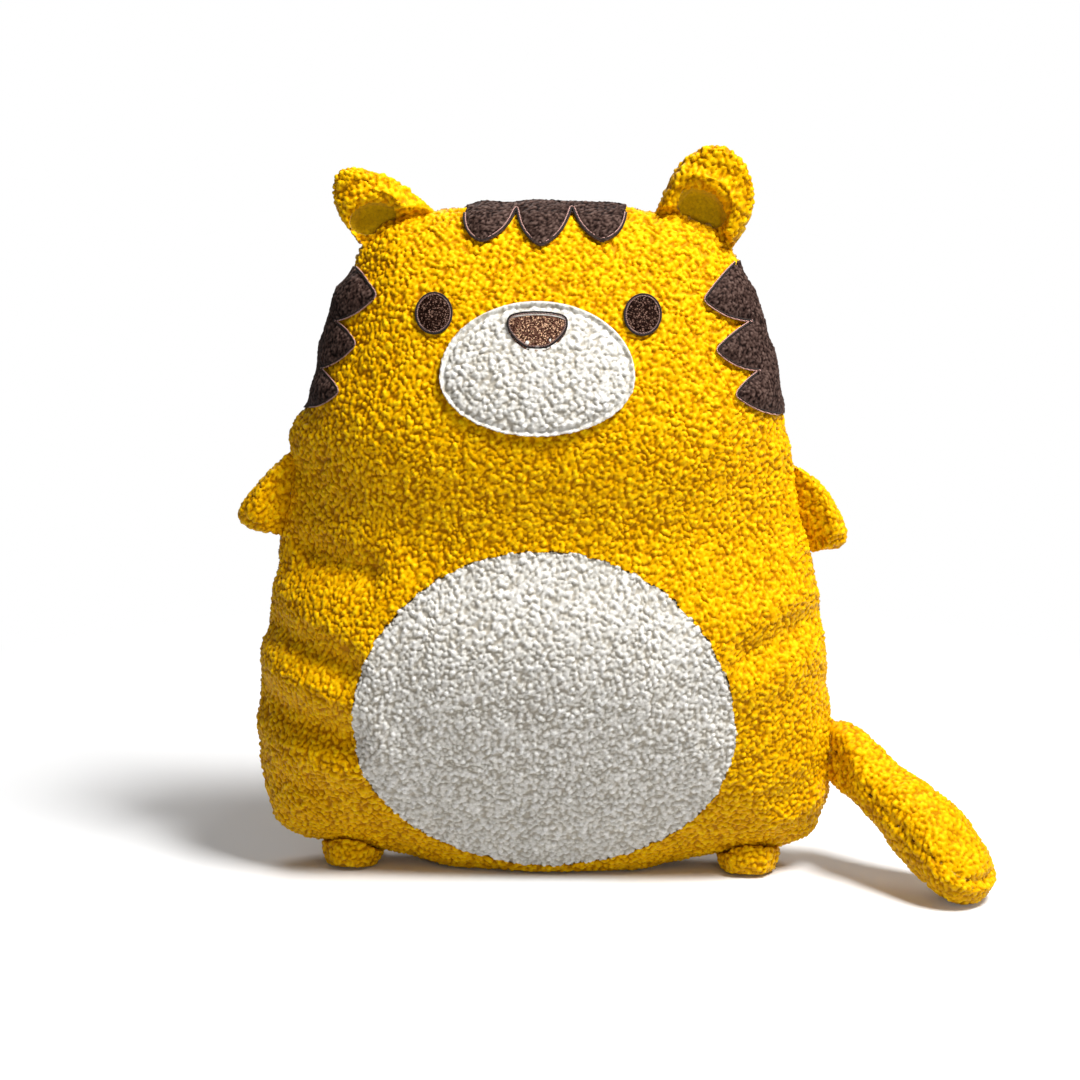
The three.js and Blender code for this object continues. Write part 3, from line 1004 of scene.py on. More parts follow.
def dress(
    obj: Mesh,
    body: str,
    slot: Slot,
    nodes: Sequence[str],
    *materials: Material,
    bend: tuple[Vector, Vector] | None = None,
) -> None:
    """Gives a finished piece its materials and, where it has no bend, its body, smooths its shading and
    hides the nodes that it stands for.

    Args:
        obj: The piece.
        body: The body that it moves with.
        slot: Its material slot in the record; not used.
        nodes: The CAD nodes that it replaces.
        *materials: Its materials, in the order of its slots.
        bend: Where it leaves the toy's body and where it follows its own, if it bends between them.
    """
    used = numbers_of(obj.data.polygons, "material_index", np.int32)
    paint(obj, *materials)
    obj.data.polygons.foreach_set("material_index", np.clip(used, 0, len(materials) - 1))
    pick(obj)
    bpy.ops.object.shade_smooth()
    if bend:
        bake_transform(obj)
    else:
        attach(obj, body)
    if nodes:
        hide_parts(*nodes)
    LOG.info("%s: %d faces, rides on %s", obj.name, len(obj.data.polygons), body)


def fill(
    name: str,
    skin: Mesh,
    depth: float,
    node: str,
    body: str,
    material: Material,
    voxel: float = 5.0,
    free: Mesh | None = None,
) -> None:
    """Makes the loose fibre inside a stuffed form.

    Args:
        name: The piece's name.
        skin: The closed skin of the form.
        depth: How far inside the skin the fibre lies, in mm.
        node: The CAD node of the filling.
        body: The body that it moves with.
        material: Its finish.
        voxel: The fineness of its mesh, in mm.
        free: A space that it leaves free, if there is one.
    """
    fibre = twin(skin, name)
    sink(fibre, depth, share=0.46)
    if free:
        combine(fibre, free, "DIFFERENCE")
    remesh(fibre, voxel)
    points = places(fibre) / MM
    lump = np.sin(points[:, 0] / 9) * np.sin(points[:, 1] / 8 + 1) * np.sin(points[:, 2] / 10 + 2)
    put_places(fibre, (points + outward(fibre) * (0.5 * lump - 0.6)[:, None]) * MM)
    dress(fibre, body, Slot.FILLING, [node], material)


# The body


@dataclass(frozen=True)
class Fold:
    """A soft crease in the stuffed body, seen from the front; sizes in mm."""

    start: tuple[float, float]
    end: tuple[float, float]
    width: float = 9.0
    depth: float = 5.0
    back: bool = False  # on the back panel instead of the front one

    def press(self, points: Places) -> np.ndarray:
        """Works out how far the crease presses each point in.

        Args:
            points: Rows of x, y and z, in mm.

        Returns:
            The depth at each point, less the swelling beside the crease, in mm.
        """
        line = np.array([self.start, self.end], float)
        apart = distance_to(points[:, [0, 2]], line, closed=False)
        facing = step_up(points[:, 1] if self.back else -points[:, 1], -6, 8)
        swell = 0.38 * bell(apart - 1.9 * self.width, self.width)
        return self.depth * facing * (bell(apart, self.width) - swell)


@dataclass
class BodyShape:
    """The stuffed body under its panels; sizes in mm."""

    voxel: float = 5.9
    slack: float = 2.5  # how much smaller it starts before it swells
    limit: float = 24.0  # how far the cloth may move while it swells
    floor_gap: float = 0.9
    seam_back: float = 12.0  # the seam lies this far back under the body
    seam_low: float = 21.0  # below this height it runs level
    seam_top: float = 62.0  # above this height it is at the middle
    layer_gap: float = 0.35  # between the front panel's skin and what is sewn on it
    crown_middle: float = 200.0  # the puckers fade towards a line up to this height
    pucker: float = 0.5  # how deep the cloth puckers beside the seam
    # how much fuller the sides are than the smoothed skin: height, viewer's left, viewer's right
    fuller_sides: Table = (
        (2, 0.5, 0.5), (14, 4.0, 4.5), (24, 5.0, 4.0), (38, 1.2, 1.5), (62, 3.0, 0.8),
        (120, 3.2, 0.8), (150, 2.4, 2.0), (168, 2.2, 2.0), (185, 5.2, 2.0), (205, 3.6, 1.0),
        (226, 3.5, 1.2), (236, 9.0, 3.4), (246, 10.5, 0.2), (262, 1.0, 0.6), (280, -2.0, 0.2),
        (300, 2.0, 1.8), (318, 2.6, 2.6), (328, 0.4, 1.2), (336, -3.0, -1.2), (345, 0.6, 1.8),
        (372, 1.2, 1.2),
    )
    folds: tuple[Fold, ...] = (
        Fold((-154, 186), (-96, 177), 9, 4.2),
        Fold((-160, 144), (-106, 127), 9, 5.4),
        Fold((-166, 101), (-106, 85), 10, 5.6),
        Fold((-156, 52), (-118, 50), 9, 1.4),
        Fold((-128, 194), (105, 198), 34, 8.0),
        Fold((156, 152), (112, 134), 9, 5.0),
        Fold((160, 62), (132, 50), 8, 2.0),
        Fold((150, 30), (128, 22), 7, 1.5),
        Fold((-158, 128), (-112, 118), 9, 3.5, back=True),
        Fold((160, 132), (118, 118), 9, 3.5, back=True),
        Fold((-150, 200), (-120, 190), 9, 2.2, back=True),
    )
    skin: Mesh = field(init=False)
    coarse: Mesh = field(init=False)
    tree: BVHTree = field(init=False)

    def seam_depth(self, height: np.ndarray) -> np.ndarray:
        """Gives the seam's place in y at each height, in mm."""
        return np.interp(height, [self.seam_low, self.seam_top], [self.seam_back, 0])

    def off_seam(self, points: Places) -> np.ndarray:
        """Measures how far points, in mm, lie in front of or behind the seam."""
        return np.abs(points[:, 1] - self.seam_depth(points[:, 2]))

    def build(self) -> None:
        """Makes the skin: voxels, then cloth under pressure, then the folds."""
        skin = joined_copy("body_skin", ["front_panel", "belly_panel", "back_panel", "body_filling"])
        remesh(skin, self.voxel)
        points = places(skin) / MM
        off_seam = self.off_seam(points)
        standing = step_up(points[:, 2], 2, 8)
        small = points - outward(skin) * (self.slack * standing * step_up(off_seam, 0, 12))[:, None]
        put_places(skin, small * MM)
        held = np.maximum(1 - off_seam / 7, 1 - points[:, 2] / 2)
        inflate(skin, np.clip(held, 0, 1), self.limit)
        finish_with(skin, "SMOOTH", factor=0.5, iterations=3)
        self.fill_out(skin)
        self.coarse = twin(skin, "body_skin_coarse")
        self.crease(self.coarse)
        finish_with(skin, "SUBSURF", levels=1, render_levels=1)
        self.crease(skin)
        self.skin = skin
        self.tree = tree_of(skin)
        low, high = places(skin).min(0) / MM, places(skin).max(0) / MM
        LOG.info("body skin from %s to %s mm", np.round(low, 1), np.round(high, 1))

    def fill_out(self, skin: Mesh) -> None:
        """Pushes the sides out to the width that the stuffing gives them.

        Args:
            skin: The swollen skin.
        """
        points = places(skin) / MM
        heights, left, right = np.array(self.fuller_sides).T
        gains = [np.interp(points[:, 2], heights, side) for side in (left, right)]
        gain = np.where(points[:, 0] < 0, *gains)
        away = outward(skin) * [1, 0, 1]
        points += away * (gain * bell(self.off_seam(points), 26) * step_up(points[:, 2], 1, 6))[:, None]
        put_places(skin, points * MM)

    def crease(self, obj: Mesh) -> None:
        """Presses the folds into a skin and keeps it above the floor.

        Args:
            obj: The skin.
        """
        points = places(obj) / MM
        seam_ease = 0.25 + 0.75 * step_up(self.off_seam(points), 3, 24)
        press = sum(fold.press(points) for fold in self.folds) * seam_ease
        core = np.array([[0, BODY_MIDDLE], [0, self.crown_middle]])
        off_core = distance_to(points[:, [0, 2]], core, closed=False)
        turn = np.arctan2(points[:, 2] - BODY_MIDDLE, points[:, 0])
        near_seam = bell(points[:, 1] - self.seam_depth(points[:, 2]), 22)
        waves = (np.sin(turn * 31) + 0.6 * np.sin(turn * 53 + 1.3)) * near_seam * step_up(off_core, 90, 120)
        points -= outward(obj) * (press + self.pucker * waves)[:, None]
        points[:, 2] = np.maximum(points[:, 2], self.floor_gap)
        put_places(obj, points * MM)

    def front_of_seam(self, offset: float) -> Mesh:
        """Makes the space in front of the seam between the two panels.

        Args:
            offset: How far behind the seam it ends, in mm.

        Returns:
            A closed form to cut with.
        """
        front, low, high = -300, -100, 500
        under = self.seam_back + offset
        corners = [(front, low), (under, low), (under, self.seam_low)]
        corners += [(offset, self.seam_top), (offset, high), (front, high)]
        return side_prism(np.array(corners, float))

    def layer(self, name: str, outline: Places, under: float, wall: float, voxel: float) -> Mesh:
        """Cuts a layer of cloth that lies on the front panel.

        Args:
            name: The layer's name.
            outline: Its front-view outline, in mm.
            under: The thickness of what it lies on, above the skin, in mm.
            wall: Its own thickness, in mm.
            voxel: The fineness of its mesh, in mm.

        Returns:
            The closed layer with rounded edges.
        """
        made = thickened(self.skin, name, under + wall)
        below = thickened(self.skin, name + "_below", under)
        combine(made, prism(outline, -200, 60), "INTERSECT")
        combine(made, below, "DIFFERENCE")
        combine(made, self.front_of_seam(-0.3), "INTERSECT")
        remesh(made, voxel)
        return made

    def off_side(self, points: Places) -> tuple[np.ndarray, Places]:
        """Measures how far points stand out from the body's edge as the front view shows it.

        Args:
            points: Rows of x, y and z, in mm.

        Returns:
            One distance for each point, in mm, and the outward direction there.
        """
        level = np.column_stack([points[:, 0], self.seam_depth(points[:, 2]), points[:, 2]])
        away, directions = [], []
        for place in level:
            nearest, normal, _, _ = self.tree.find_nearest(Vector(place * MM))
            gap = Vector(place) - nearest / MM
            side = 1 if gap.dot(normal) > 0 else -1
            flat = Vector((normal.x, 0, normal.z))
            if gap.length > 0.5:
                flat = Vector((gap.x, 0, gap.z)) * side
            away.append(side * gap.length)
            directions.append(flat.normalized())
        return np.array(away), np.array(directions)

    def off_skin(self, points: Places) -> np.ndarray:
        """Measures how far points lie from the skin.

        Args:
            points: Rows of x, y and z, in metres.

        Returns:
            One distance for each point, in mm.
        """
        return np.array([self.tree.find_nearest(Vector(p))[3] for p in points]) / MM

    def on_front(self, x: float, z: float, over: float) -> Vector:
        """Finds the point of the body's front at a place seen from the front.

        Args:
            x: In mm.
            z: In mm.
            over: How far above the skin, in mm.

        Returns:
            The point, in metres.
        """
        place, normal, _, _ = self.tree.ray_cast(Vector((x, -200, z)) * MM, INWARDS)
        if place is None:
            place, normal, _, _ = self.tree.find_nearest(Vector((x, -1, z)) * MM)
        return place + normal * over * MM


def skin_normals(tree: BVHTree, points: Places) -> Places:
    """Gives the outward direction of a skin next to each point, in metres."""
    return np.array([tree.find_nearest(Vector(p))[1] for p in points])


@dataclass
class BodyCovers:
    """The front panel, the white oval let into it, the back panel and the filling; sizes in mm."""

    shape: BodyShape
    wardrobe: Wardrobe
    wall: float = 3.4
    oval_centre: tuple[float, float] = (1.5, 92.0)
    oval_half_width: float = 103.0
    oval_rise: float = 99.5
    oval_drop: float = 86.0
    seam_gap: float = 0.3
    seam_tuck: float = 1.7
    seam_width: float = 3.0
    cuts: int = 3  # new points on each edge, fine enough for the curls
    oval_points: int = 600
    points_per_curl: int = 3
    edge_wander: float = 0.8  # how far the curls hide the line between yellow and white
    filling_gap: float = 1.2
    pile: CurlPile = CurlPile()

    def build(self) -> None:
        """Cuts the three panels from one shell and raises their pile."""
        cover = shell(self.shape.skin, "cover", self.wall, self.shape.coarse)
        oval = self.oval()
        spaces = [self.shape.front_of_seam(side * self.seam_gap / 2) for side in (-1, 1)]
        front, back = split(cover, ["front_panel_cloth", "back_panel_cloth"], spaces)
        belly = twin(front, "belly_panel_cloth")
        combine(front, faced(prism(oval, -200, 0), BACKING), "DIFFERENCE")
        combine(belly, faced(prism(oval, -200, 0), BACKING), "INTERSECT")
        honey = (self.wardrobe.honey, self.wardrobe.honey_backing)
        white = (self.wardrobe.white, self.wardrobe.white_backing)
        self.sew(front, "front_panel", Slot.HONEY_BOUCLE, *honey)
        self.sew(belly, "belly_panel", Slot.WHITE_BOUCLE, *white)
        self.sew(back, "back_panel", Slot.HONEY_BOUCLE, *honey)
        depth = self.wall + self.filling_gap
        fill("body_fibre", self.shape.coarse, depth, "body_filling", "body", self.wardrobe.fibre)

    def oval(self) -> Places:
        """Draws the belly's outline, with each curl along it in or out by its own share.

        Returns:
            Rows of x and z, in mm.
        """
        smooth = ellipse(
            self.oval_centre, self.oval_half_width, self.oval_rise, self.oval_drop, self.oval_points
        )
        curls = np.arange(self.oval_points // self.points_per_curl)[:, None] * [1, 0, 0]
        share = np.repeat(scattered(curls, seed=3)[:, 0], self.points_per_curl) - 0.5
        middle = np.array(self.oval_centre)
        size = 1 + 2 * self.edge_wander * share[:, None] / self.oval_half_width
        return middle + (smooth - middle) * size

    def sew(self, panel: Mesh, node: str, slot: Slot, *materials: Material) -> None:
        """Refines a panel, tucks its edge into the seam, raises its pile and dresses it.

        Args:
            panel: The closed panel.
            node: The CAD node that it replaces.
            slot: Its material slot.
            *materials: Its pile and its backing.
        """
        refine_pile(panel, self.cuts)
        points = places(panel) / MM
        tuck = self.seam_tuck * bell(self.shape.off_seam(points), self.seam_width)
        put_places(panel, (points - outward(panel) * tuck[:, None]) * MM)
        resting = step_up(points[:, 2], 0.5, 3)
        self.pile.raise_on(panel, in_pile(panel) * (0.35 + 0.65 * resting))
        dress(panel, "body", slot, [node], *materials)


# What is sewn on


@dataclass
class SewnOn:
    """Patches and cords of stitches on the front of the body; sizes in mm."""

    shape: BodyShape
    wardrobe: Wardrobe
    badge_wall: float = 1.2
    badge_puff: float = 0.5  # how far the middle of a small patch stands above its edge
    badge_voxel: float = 0.5
    thread_inset: float = 0.9
    thread_radius: float = 0.32
    # the dark edge is partly stitches and partly painted shade of the gap round a patch
    satin_radius: float = 0.512  # the dark edge just outside the thread

    def badge(self, name: str, outline: Places, under: float, slot: Slot, material: Material) -> None:
        """Makes a small flat patch with a stitched outline.

        Args:
            name: The start of the names of its two pieces and its node.
            outline: Its front-view outline, in mm.
            under: The thickness of what it lies on, in mm.
            slot: Its material slot.
            material: Its finish.
        """
        patch = self.shape.layer(f"{name}_cloth", outline, under, self.badge_wall, self.badge_voxel)
        points = places(patch)
        inside = distance_to(points[:, [0, 2]] / MM, outline)
        outer = self.shape.off_skin(points) > under + 0.6 * self.badge_wall
        rise = np.where(outer, self.badge_puff * step_up(inside, 0.5, 5) - 0.3, 0)
        put_places(patch, points + outward(patch) * rise[:, None] * MM)
        dress(patch, "body", slot, [f"{name}_patch"], material)
        thread = self.wardrobe.dark_outline
        self.stitched(f"{name}_outline", outline, under + 1.1, slot, thread, closed=True)

    def stitched(
        self, name: str, line: Places, over: float, slot: Slot, thread: Material, closed: bool
    ) -> None:
        """Lays a cord of close stitches along an outline, with a dark satin edge outside it, which also
        paints the shade in the gap at the patch's rim.

        Args:
            name: The cord's name; the edge is named after it.
            line: The outline, in mm.
            over: The height of the cloth under it, above the skin, in mm.
            slot: Its material slot.
            thread: The thread's finish.
            closed: Whether the line closes on itself.
        """
        inner, outer = (inset_line(line, inset, closed) for inset in (self.thread_inset, 0.1))
        self.cord(name, inner, over, self.thread_radius, closed, slot, thread)
        # the dark edge cord is partly stitches and partly painted shade of the gap round the patch
        self.cord(name + "_edge", outer, over - 0.2, self.satin_radius, closed, slot, self.wardrobe.edge)

    def cord(
        self,
        name: str,
        line: Places,
        over: float,
        radius: float,
        closed: bool,
        slot: Slot,
        material: Material,
    ) -> None:
        """Makes a round cord that follows the body.

        Args:
            name: The cord's name.
            line: Its front-view path, in mm.
            over: The height of its middle above the skin, in mm.
            radius: Its radius, in mm.
            closed: Whether it closes on itself.
            slot: Its material slot.
            material: Its finish.
        """
        curve = bpy.data.curves.new(name, "CURVE")
        curve.dimensions = "3D"
        curve.bevel_depth = radius * MM
        curve.bevel_resolution = 2
        curve.use_fill_caps = not closed
        spline = curve.splines.new("POLY")
        spline.points.add(len(line) - 1)
        for point, (x, z) in zip(spline.points, line):
            point.co = (*self.shape.on_front(x, z, over), 1)
        spline.use_cyclic_u = closed
        made = bpy.data.objects.new(name, curve)
        bpy.context.scene.collection.objects.link(made)
        pick(made)
        bpy.ops.object.convert(target="MESH")
        made = bpy.context.active_object
        with editing(made):
            bpy.ops.mesh.remove_doubles(threshold=0.001 * MM)
        turn_outwards(made)
        dress(made, "body", slot, [], material)


@dataclass
class Face(SewnOn):
    """The white muzzle, the nose and the eyes; sizes in mm."""

    centre: float = -1.8
    muzzle_height: float = 284.0
    muzzle_half_width: float = 51.0
    muzzle_rise: float = 38.0
    muzzle_drop: float = 30.0
    muzzle_wall: float = 3.0
    muzzle_puff: float = 2.4
    muzzle_voxel: float = 0.7
    muzzle_pile: CurlPile = CurlPile(curl=2.95, seed=21)
    stitch_inset: float = 2.4
    stitch_depth: float = 1.5
    eye_spacing: float = 109.0
    eye_lift: float = 31.0
    eye_half_width: float = 9.6
    eye_half_height: float = 10.3
    nose_lift: float = 25.0
    nose_half_width: float = 15.5
    nose_rise: float = 6.5
    nose_drop: float = 11.5
    # across and up, as shares of the half width and of the rise or the drop
    nose_shape: Table = (
        (-1, 0), (-0.84, 0.75), (0, 1), (0.84, 0.75), (1, 0),
        (0.8, -0.5), (0.4, -0.92), (0, -1), (-0.4, -0.92), (-0.8, -0.5),
    )

    def build(self) -> None:
        """Makes the pieces of the face from the lowest layer up."""
        self.muzzle()
        under = self.shape.layer_gap + self.muzzle_wall + 1.2
        self.badge("nose", self.nose_outline(), under, Slot.NOSE_CLOTH, self.wardrobe.nose)
        for side in Side:
            centre = (self.centre + side.value * self.eye_spacing / 2, self.muzzle_height + self.eye_lift)
            outline = ellipse(centre, self.eye_half_width, self.eye_half_height, self.eye_half_height, 48)
            self.badge(f"{side.word}_eye", outline, self.shape.layer_gap, Slot.EYE_CLOTH, self.wardrobe.eye)

    def muzzle(self) -> None:
        """Makes the padded white muzzle with its stitched border."""
        middle = (self.centre, self.muzzle_height)
        outline = ellipse(middle, self.muzzle_half_width, self.muzzle_rise, self.muzzle_drop)
        gap = self.shape.layer_gap
        patch = self.shape.layer("muzzle_cloth", outline, gap, self.muzzle_wall, self.muzzle_voxel)
        points = places(patch)
        inside = distance_to(points[:, [0, 2]] / MM, outline)
        outer = self.shape.off_skin(points) > 0.6 * self.muzzle_wall
        puff = self.muzzle_puff * (1 - bell(inside, 15))
        puff = puff - self.stitch_depth * bell(inside - self.stitch_inset, 1.1)
        rise = np.where(outer, puff, 0)
        put_places(patch, points + outward(patch) * rise[:, None] * MM)
        amount = outer * (0.45 + 0.55 * step_up(inside, self.stitch_inset, self.stitch_inset + 1.4))
        by_nose = distance_to(points[:, [0, 2]] / MM, self.nose_outline())
        self.muzzle_pile.raise_on(patch, amount * (0.25 + 0.75 * step_up(by_nose, 0.8, 2.8)))
        dress(patch, "body", Slot.WHITE_BOUCLE, ["muzzle_patch"], self.wardrobe.white)

    def nose_outline(self) -> Places:
        """Draws the nose's edge.

        Returns:
            Rows of x and z, in mm.
        """
        height = self.muzzle_height + self.nose_lift
        corners = []
        for across, up in self.nose_shape:
            reach = self.nose_rise if up > 0 else self.nose_drop
            corners.append((self.centre + across * self.nose_half_width, height + up * reach))
        return smooth_loop(corners)


@dataclass
class Stripes(SewnOn):
    """The brown stripes on the crown and the cheeks; sizes in mm."""

    wall: float = 2.2
    puff: float = 1.2
    voxel: float = 0.75
    seam_sink: float = 2.2  # how far the ends are drawn into the side seam
    thread_stop: int = 3  # how far from the seam the stitched outline ends
    past_side: float = 200.0  # beyond the body's width
    past_crown: float = 420.0  # beyond its height
    pile: CurlPile = CurlPile(curl=1.9, height=0.8, seed=31)
    # corners and tips of each free edge, each with how far the next edge bulges out
    crown: Table = (
        (-42.0, 368, 4.6), (-32.5, 350.5, 3.4), (-14.5, 368, 3.4), (-1.0, 348.5, 3.4),
        (14.5, 368.5, 3.0), (31.0, 351, 4.4), (43.5, 368.5, 0),
    )
    right_cheek: Table = (
        (102.5, 341, 0.8), (84.5, 322, 2.4), (111, 309.5, 1.2), (91, 296.5, 2.4),
        (115.5, 284, 1.4), (101.5, 273, 1.4), (127, 259.5, 0),
    )
    left_cheek: Table = (
        (-102, 337, 0.8), (-87.5, 323, 2.2), (-112, 308, 1.4), (-98.5, 297.5, 2.0),
        (-120, 282.5, 1.2), (-107.5, 272.5, 1.6), (-128, 261, 0),
    )

    def build(self) -> None:
        """Makes the stripes and their stitched outlines."""
        crown_rest = [[44, self.past_crown], [-42, self.past_crown]]
        self.stripe("crown_stripes", self.edge(self.crown, 1, 7), crown_rest)
        for word, corners, side in (("right", self.right_cheek, 1), ("left", self.left_cheek, -1)):
            rest = [[side * self.past_side, corners[end][1]] for end in (-1, 0)]
            self.stripe(f"{word}_cheek_stripes", self.edge(corners, side, 3), rest, way=-side)

    @staticmethod
    def edge(corners: Table, side: int, rounds: int) -> Places:
        """Draws a free edge with bulging teeth and rounded tips.

        Args:
            corners: x, z and the bulge of the edge after each corner, in mm.
            side: 1 where the bulge lies to the left of the way along the line, -1 where to the right.
            rounds: How often the line is smoothed, which rounds its tips.

        Returns:
            Rows of x and z, about 1 mm apart, in mm.
        """
        rows = []
        for (x, z, bulge), (next_x, next_z, _) in zip(corners, corners[1:]):
            start, way = np.array([x, z]), np.array([next_x - x, next_z - z])
            length = np.linalg.norm(way)
            across = side * np.array([way[1], -way[0]]) / length
            for share in np.arange(0, 1, 1 / round(length)):
                rows.append(start + share * way + across * bulge * 4 * share * (1 - share))
        rows.append(np.array(corners[-1][:2], float))
        line = np.array(rows)
        for _ in range(rounds):
            line[1:-1] = 0.5 * line[1:-1] + 0.25 * (line[:-2] + line[2:])
        return line

    def stripe(self, node: str, line: Places, rest: Sequence[Sequence[float]], way: int = 1) -> None:
        """Makes one group of stripes.

        Args:
            node: Its CAD node.
            line: Its free edge, in mm.
            rest: The corners that close its outline past the seam, in mm.
            way: -1 where the line has to be turned round for its stitches to lie on the stripes.
        """
        outline = np.vstack([line, np.array(rest, float)])
        under = self.shape.layer_gap
        patch = self.shape.layer(node + "_cloth", outline, under, self.wall, self.voxel)
        points = places(patch)
        inside = distance_to(points[:, [0, 2]] / MM, line, closed=False)
        outer = self.shape.off_skin(points) > under + 0.6 * self.wall
        off_seam = np.abs(points[:, 1] / MM - self.shape.seam_depth(points[:, 2] / MM))
        puff = self.puff * step_up(inside, 1.2, 7) * step_up(off_seam, 2, 14) - 0.9 * bell(inside, 1.7)
        rise = outward(patch) * np.where(outer, puff, 0)[:, None]
        sunk = skin_normals(self.shape.tree, points) * (self.seam_sink * bell(off_seam, 12))[:, None]
        put_places(patch, points + (rise - sunk) * MM)
        self.pile.raise_on(patch, outer * step_up(inside, 0.8, 2.2))
        dress(patch, "body", Slot.SHORT_PILE, [node], self.wardrobe.pile)
        line = line[self.thread_stop : -self.thread_stop][::way]
        over = under + self.wall - 0.7
        self.stitched(f"{node}_outline", line, over, Slot.SHORT_PILE, self.wardrobe.outline, closed=False)


# Limbs


@dataclass
class StuffedLimb:
    """A limb sewn into a seam: its skin, its two covers and its filling; sizes in mm."""

    name: str
    body: str
    torso: BodyShape
    wardrobe: Wardrobe
    joint: str | None = None
    covers: tuple[str, str] = ("front", "back")
    solids: tuple[str, str, str] = ("front", "back", "filling")  # what the skin is made from
    voxel: float = 1.5
    wall: float = 2.2
    swell: float = 2.0
    floor_gap: float = 0.5
    sewn_in: float = 5.0  # how far the root is drawn into the body's seam
    root_reach: float = 14.0
    root_fullness: float = 2.0
    seam_tuck: float = 1.2
    seam_width: float = 1.8
    pile: CurlPile = CurlPile(curl=2.9, height=1.8, seed=4)
    overlap: float = 0.25  # how far each cover reaches past the seam
    filling_start: float = 5.0  # how far beyond the fold line the filling starts
    filling_gap: float = 0.8
    filling_voxel: float = 2.5
    bend_inside: float = 2.5  # the cloth bends from this far inside the fold line
    bend_outside: float = 5.0  # to this far outside it

    def hinge(self) -> tuple[Places, Places, Places]:
        """Reads the limb's joint.

        Returns:
            The fold line's middle, in mm, the direction out of the body and the one along the line.
        """
        joint = next(j for j in frame["joints"] if j["name"] == self.joint)
        out = np.cross(joint["axis"], (0, 1, 0))
        if np.linalg.norm(out[:2]) < 0.1:
            out = np.array([1.0, 0, 0])
        place = np.array(joint["pos_m"]) / MM
        if out @ (place - (0, 0, BODY_MIDDLE)) < 0:
            out = -out
        out = out / np.linalg.norm(out)
        return place, out, np.array([out[2], 0, -out[0]])

    def reach(self, points: Places) -> np.ndarray:
        """Measures how far points, in mm, lie beyond the fold line."""
        place, out, _ = self.hinge()
        return (points - place) @ out

    def seam_distance(self, points: Places) -> np.ndarray:
        """Measures how far points lie from the limb's own seam, in mm."""
        return np.abs(points[:, 1])

    def front_space(self, offset: float) -> Mesh:
        """Makes the space in front of the limb's seam, to cut with."""
        return side_prism(np.array([(-300, -100), (offset, -100), (offset, 500), (-300, 500)], float))

    def shape(self, skin: Mesh) -> None:
        """Gives the skin the limb's own form, where it has one."""

    def build_skin(self) -> Mesh:
        """Makes the limb's closed skin: voxels, cloth under pressure, and a root drawn into the seam.

        Returns:
            The skin.
        """
        skin = joined_copy(self.name + "_skin", [f"{self.name}_{end}" for end in self.solids])
        remesh(skin, self.voxel)
        points = places(skin) / MM
        held = 1 - self.seam_distance(points) / 2.5
        held = np.maximum(held, 1 - points[:, 2] / 1.5)
        if self.joint:
            held = np.maximum(held, 1 - (self.reach(points) - 2) / 4)
        inflate(skin, np.clip(held, 0, 1), self.swell)
        finish_with(skin, "SMOOTH", factor=0.5, iterations=2)
        self.shape(skin)
        if self.joint:
            self.sew_root(skin)
        points = places(skin) / MM
        points[:, 2] = np.maximum(points[:, 2], self.floor_gap)
        put_places(skin, points * MM)
        finish_with(skin, "SUBSURF", levels=1, render_levels=1)
        return skin

    def sew_root(self, skin: Mesh) -> None:
        """Fills out the pinched root and draws it into the body's seam.

        Args:
            skin: The limb's skin.
        """
        points = places(skin) / MM
        reach = self.reach(points)
        reach -= reach.min()
        near = reach < self.root_reach
        _, out, _ = self.hinge()
        away, outwards = self.torso.off_side(points[near] - reach[near, None] * out)
        fuller = self.root_fullness * bell(reach[near] - 5, 4)
        points[near, 1] += fuller * np.clip(points[near, 1], -1, 1)
        pull = (self.sewn_in + away) * (1 - step_up(reach[near], 0, self.root_reach))
        points[near] -= pull[:, None] * outwards
        put_places(skin, points * MM)

    def build(self) -> None:
        """Makes the covers and what they hold."""
        skin = self.build_skin()
        names = [f"{self.name}_{end}_cloth" for end in self.covers]
        spaces = [self.front_space(side * self.overlap) for side in (1, -1)]
        first, second = split(shell(skin, f"{self.name}_cover", self.wall), names, spaces)
        held = self.open_cover(first)
        tree = tree_of(skin)
        self.cover(first, self.covers[0], tree)
        self.cover(second, self.covers[1], tree)
        self.fill_cover(skin, held)
        bpy.data.objects.remove(skin)

    def open_cover(self, first: Mesh) -> Mesh | None:
        """Cuts an opening into the first cover, where there is one, and gives what was cut out."""

    def fill_cover(self, skin: Mesh, held: Mesh | None) -> None:
        """Makes the filling.

        Args:
            skin: The limb's skin.
            held: What was cut out of the first cover; not used.
        """
        free = self.root_space() if self.joint else None
        name, node, depth = f"{self.name}_fibre", f"{self.name}_filling", self.wall + self.filling_gap
        fill(name, skin, depth, node, self.body, self.wardrobe.fibre, self.filling_voxel, free)

    def root_space(self) -> Mesh:
        """Makes the space at the root where the limb folds, which its filling leaves free.

        Returns:
            A closed form to cut with.
        """
        place, out, along = self.hinge()
        ends = ((-60, -100), (self.filling_start, -100), (self.filling_start, 100), (-60, 100))
        corners = np.array([place + reach * out + across * along for reach, across in ends])
        return prism(corners[:, [0, 2]], -150, 150)

    def cover(self, piece: Mesh, end: str, tree: BVHTree) -> None:
        """Tucks one cover into its seam, raises its pile and dresses it.

        Args:
            piece: The closed cover.
            end: The end of its node's name.
            tree: The search tree of the limb's skin.
        """
        points = places(piece) / MM
        tuck = self.seam_tuck * bell(self.seam_distance(points), self.seam_width)
        put_places(piece, (points - skin_normals(tree, points * MM) * tuck[:, None]) * MM)
        self.pile.raise_on(piece, in_pile(piece) * (0.3 + 0.7 * step_up(points[:, 2], 0.5, 3)))
        honey = (self.wardrobe.honey, self.wardrobe.honey_backing)
        dress(piece, self.body, Slot.HONEY_BOUCLE, [f"{self.name}_{end}"], *honey, bend=self.bend())

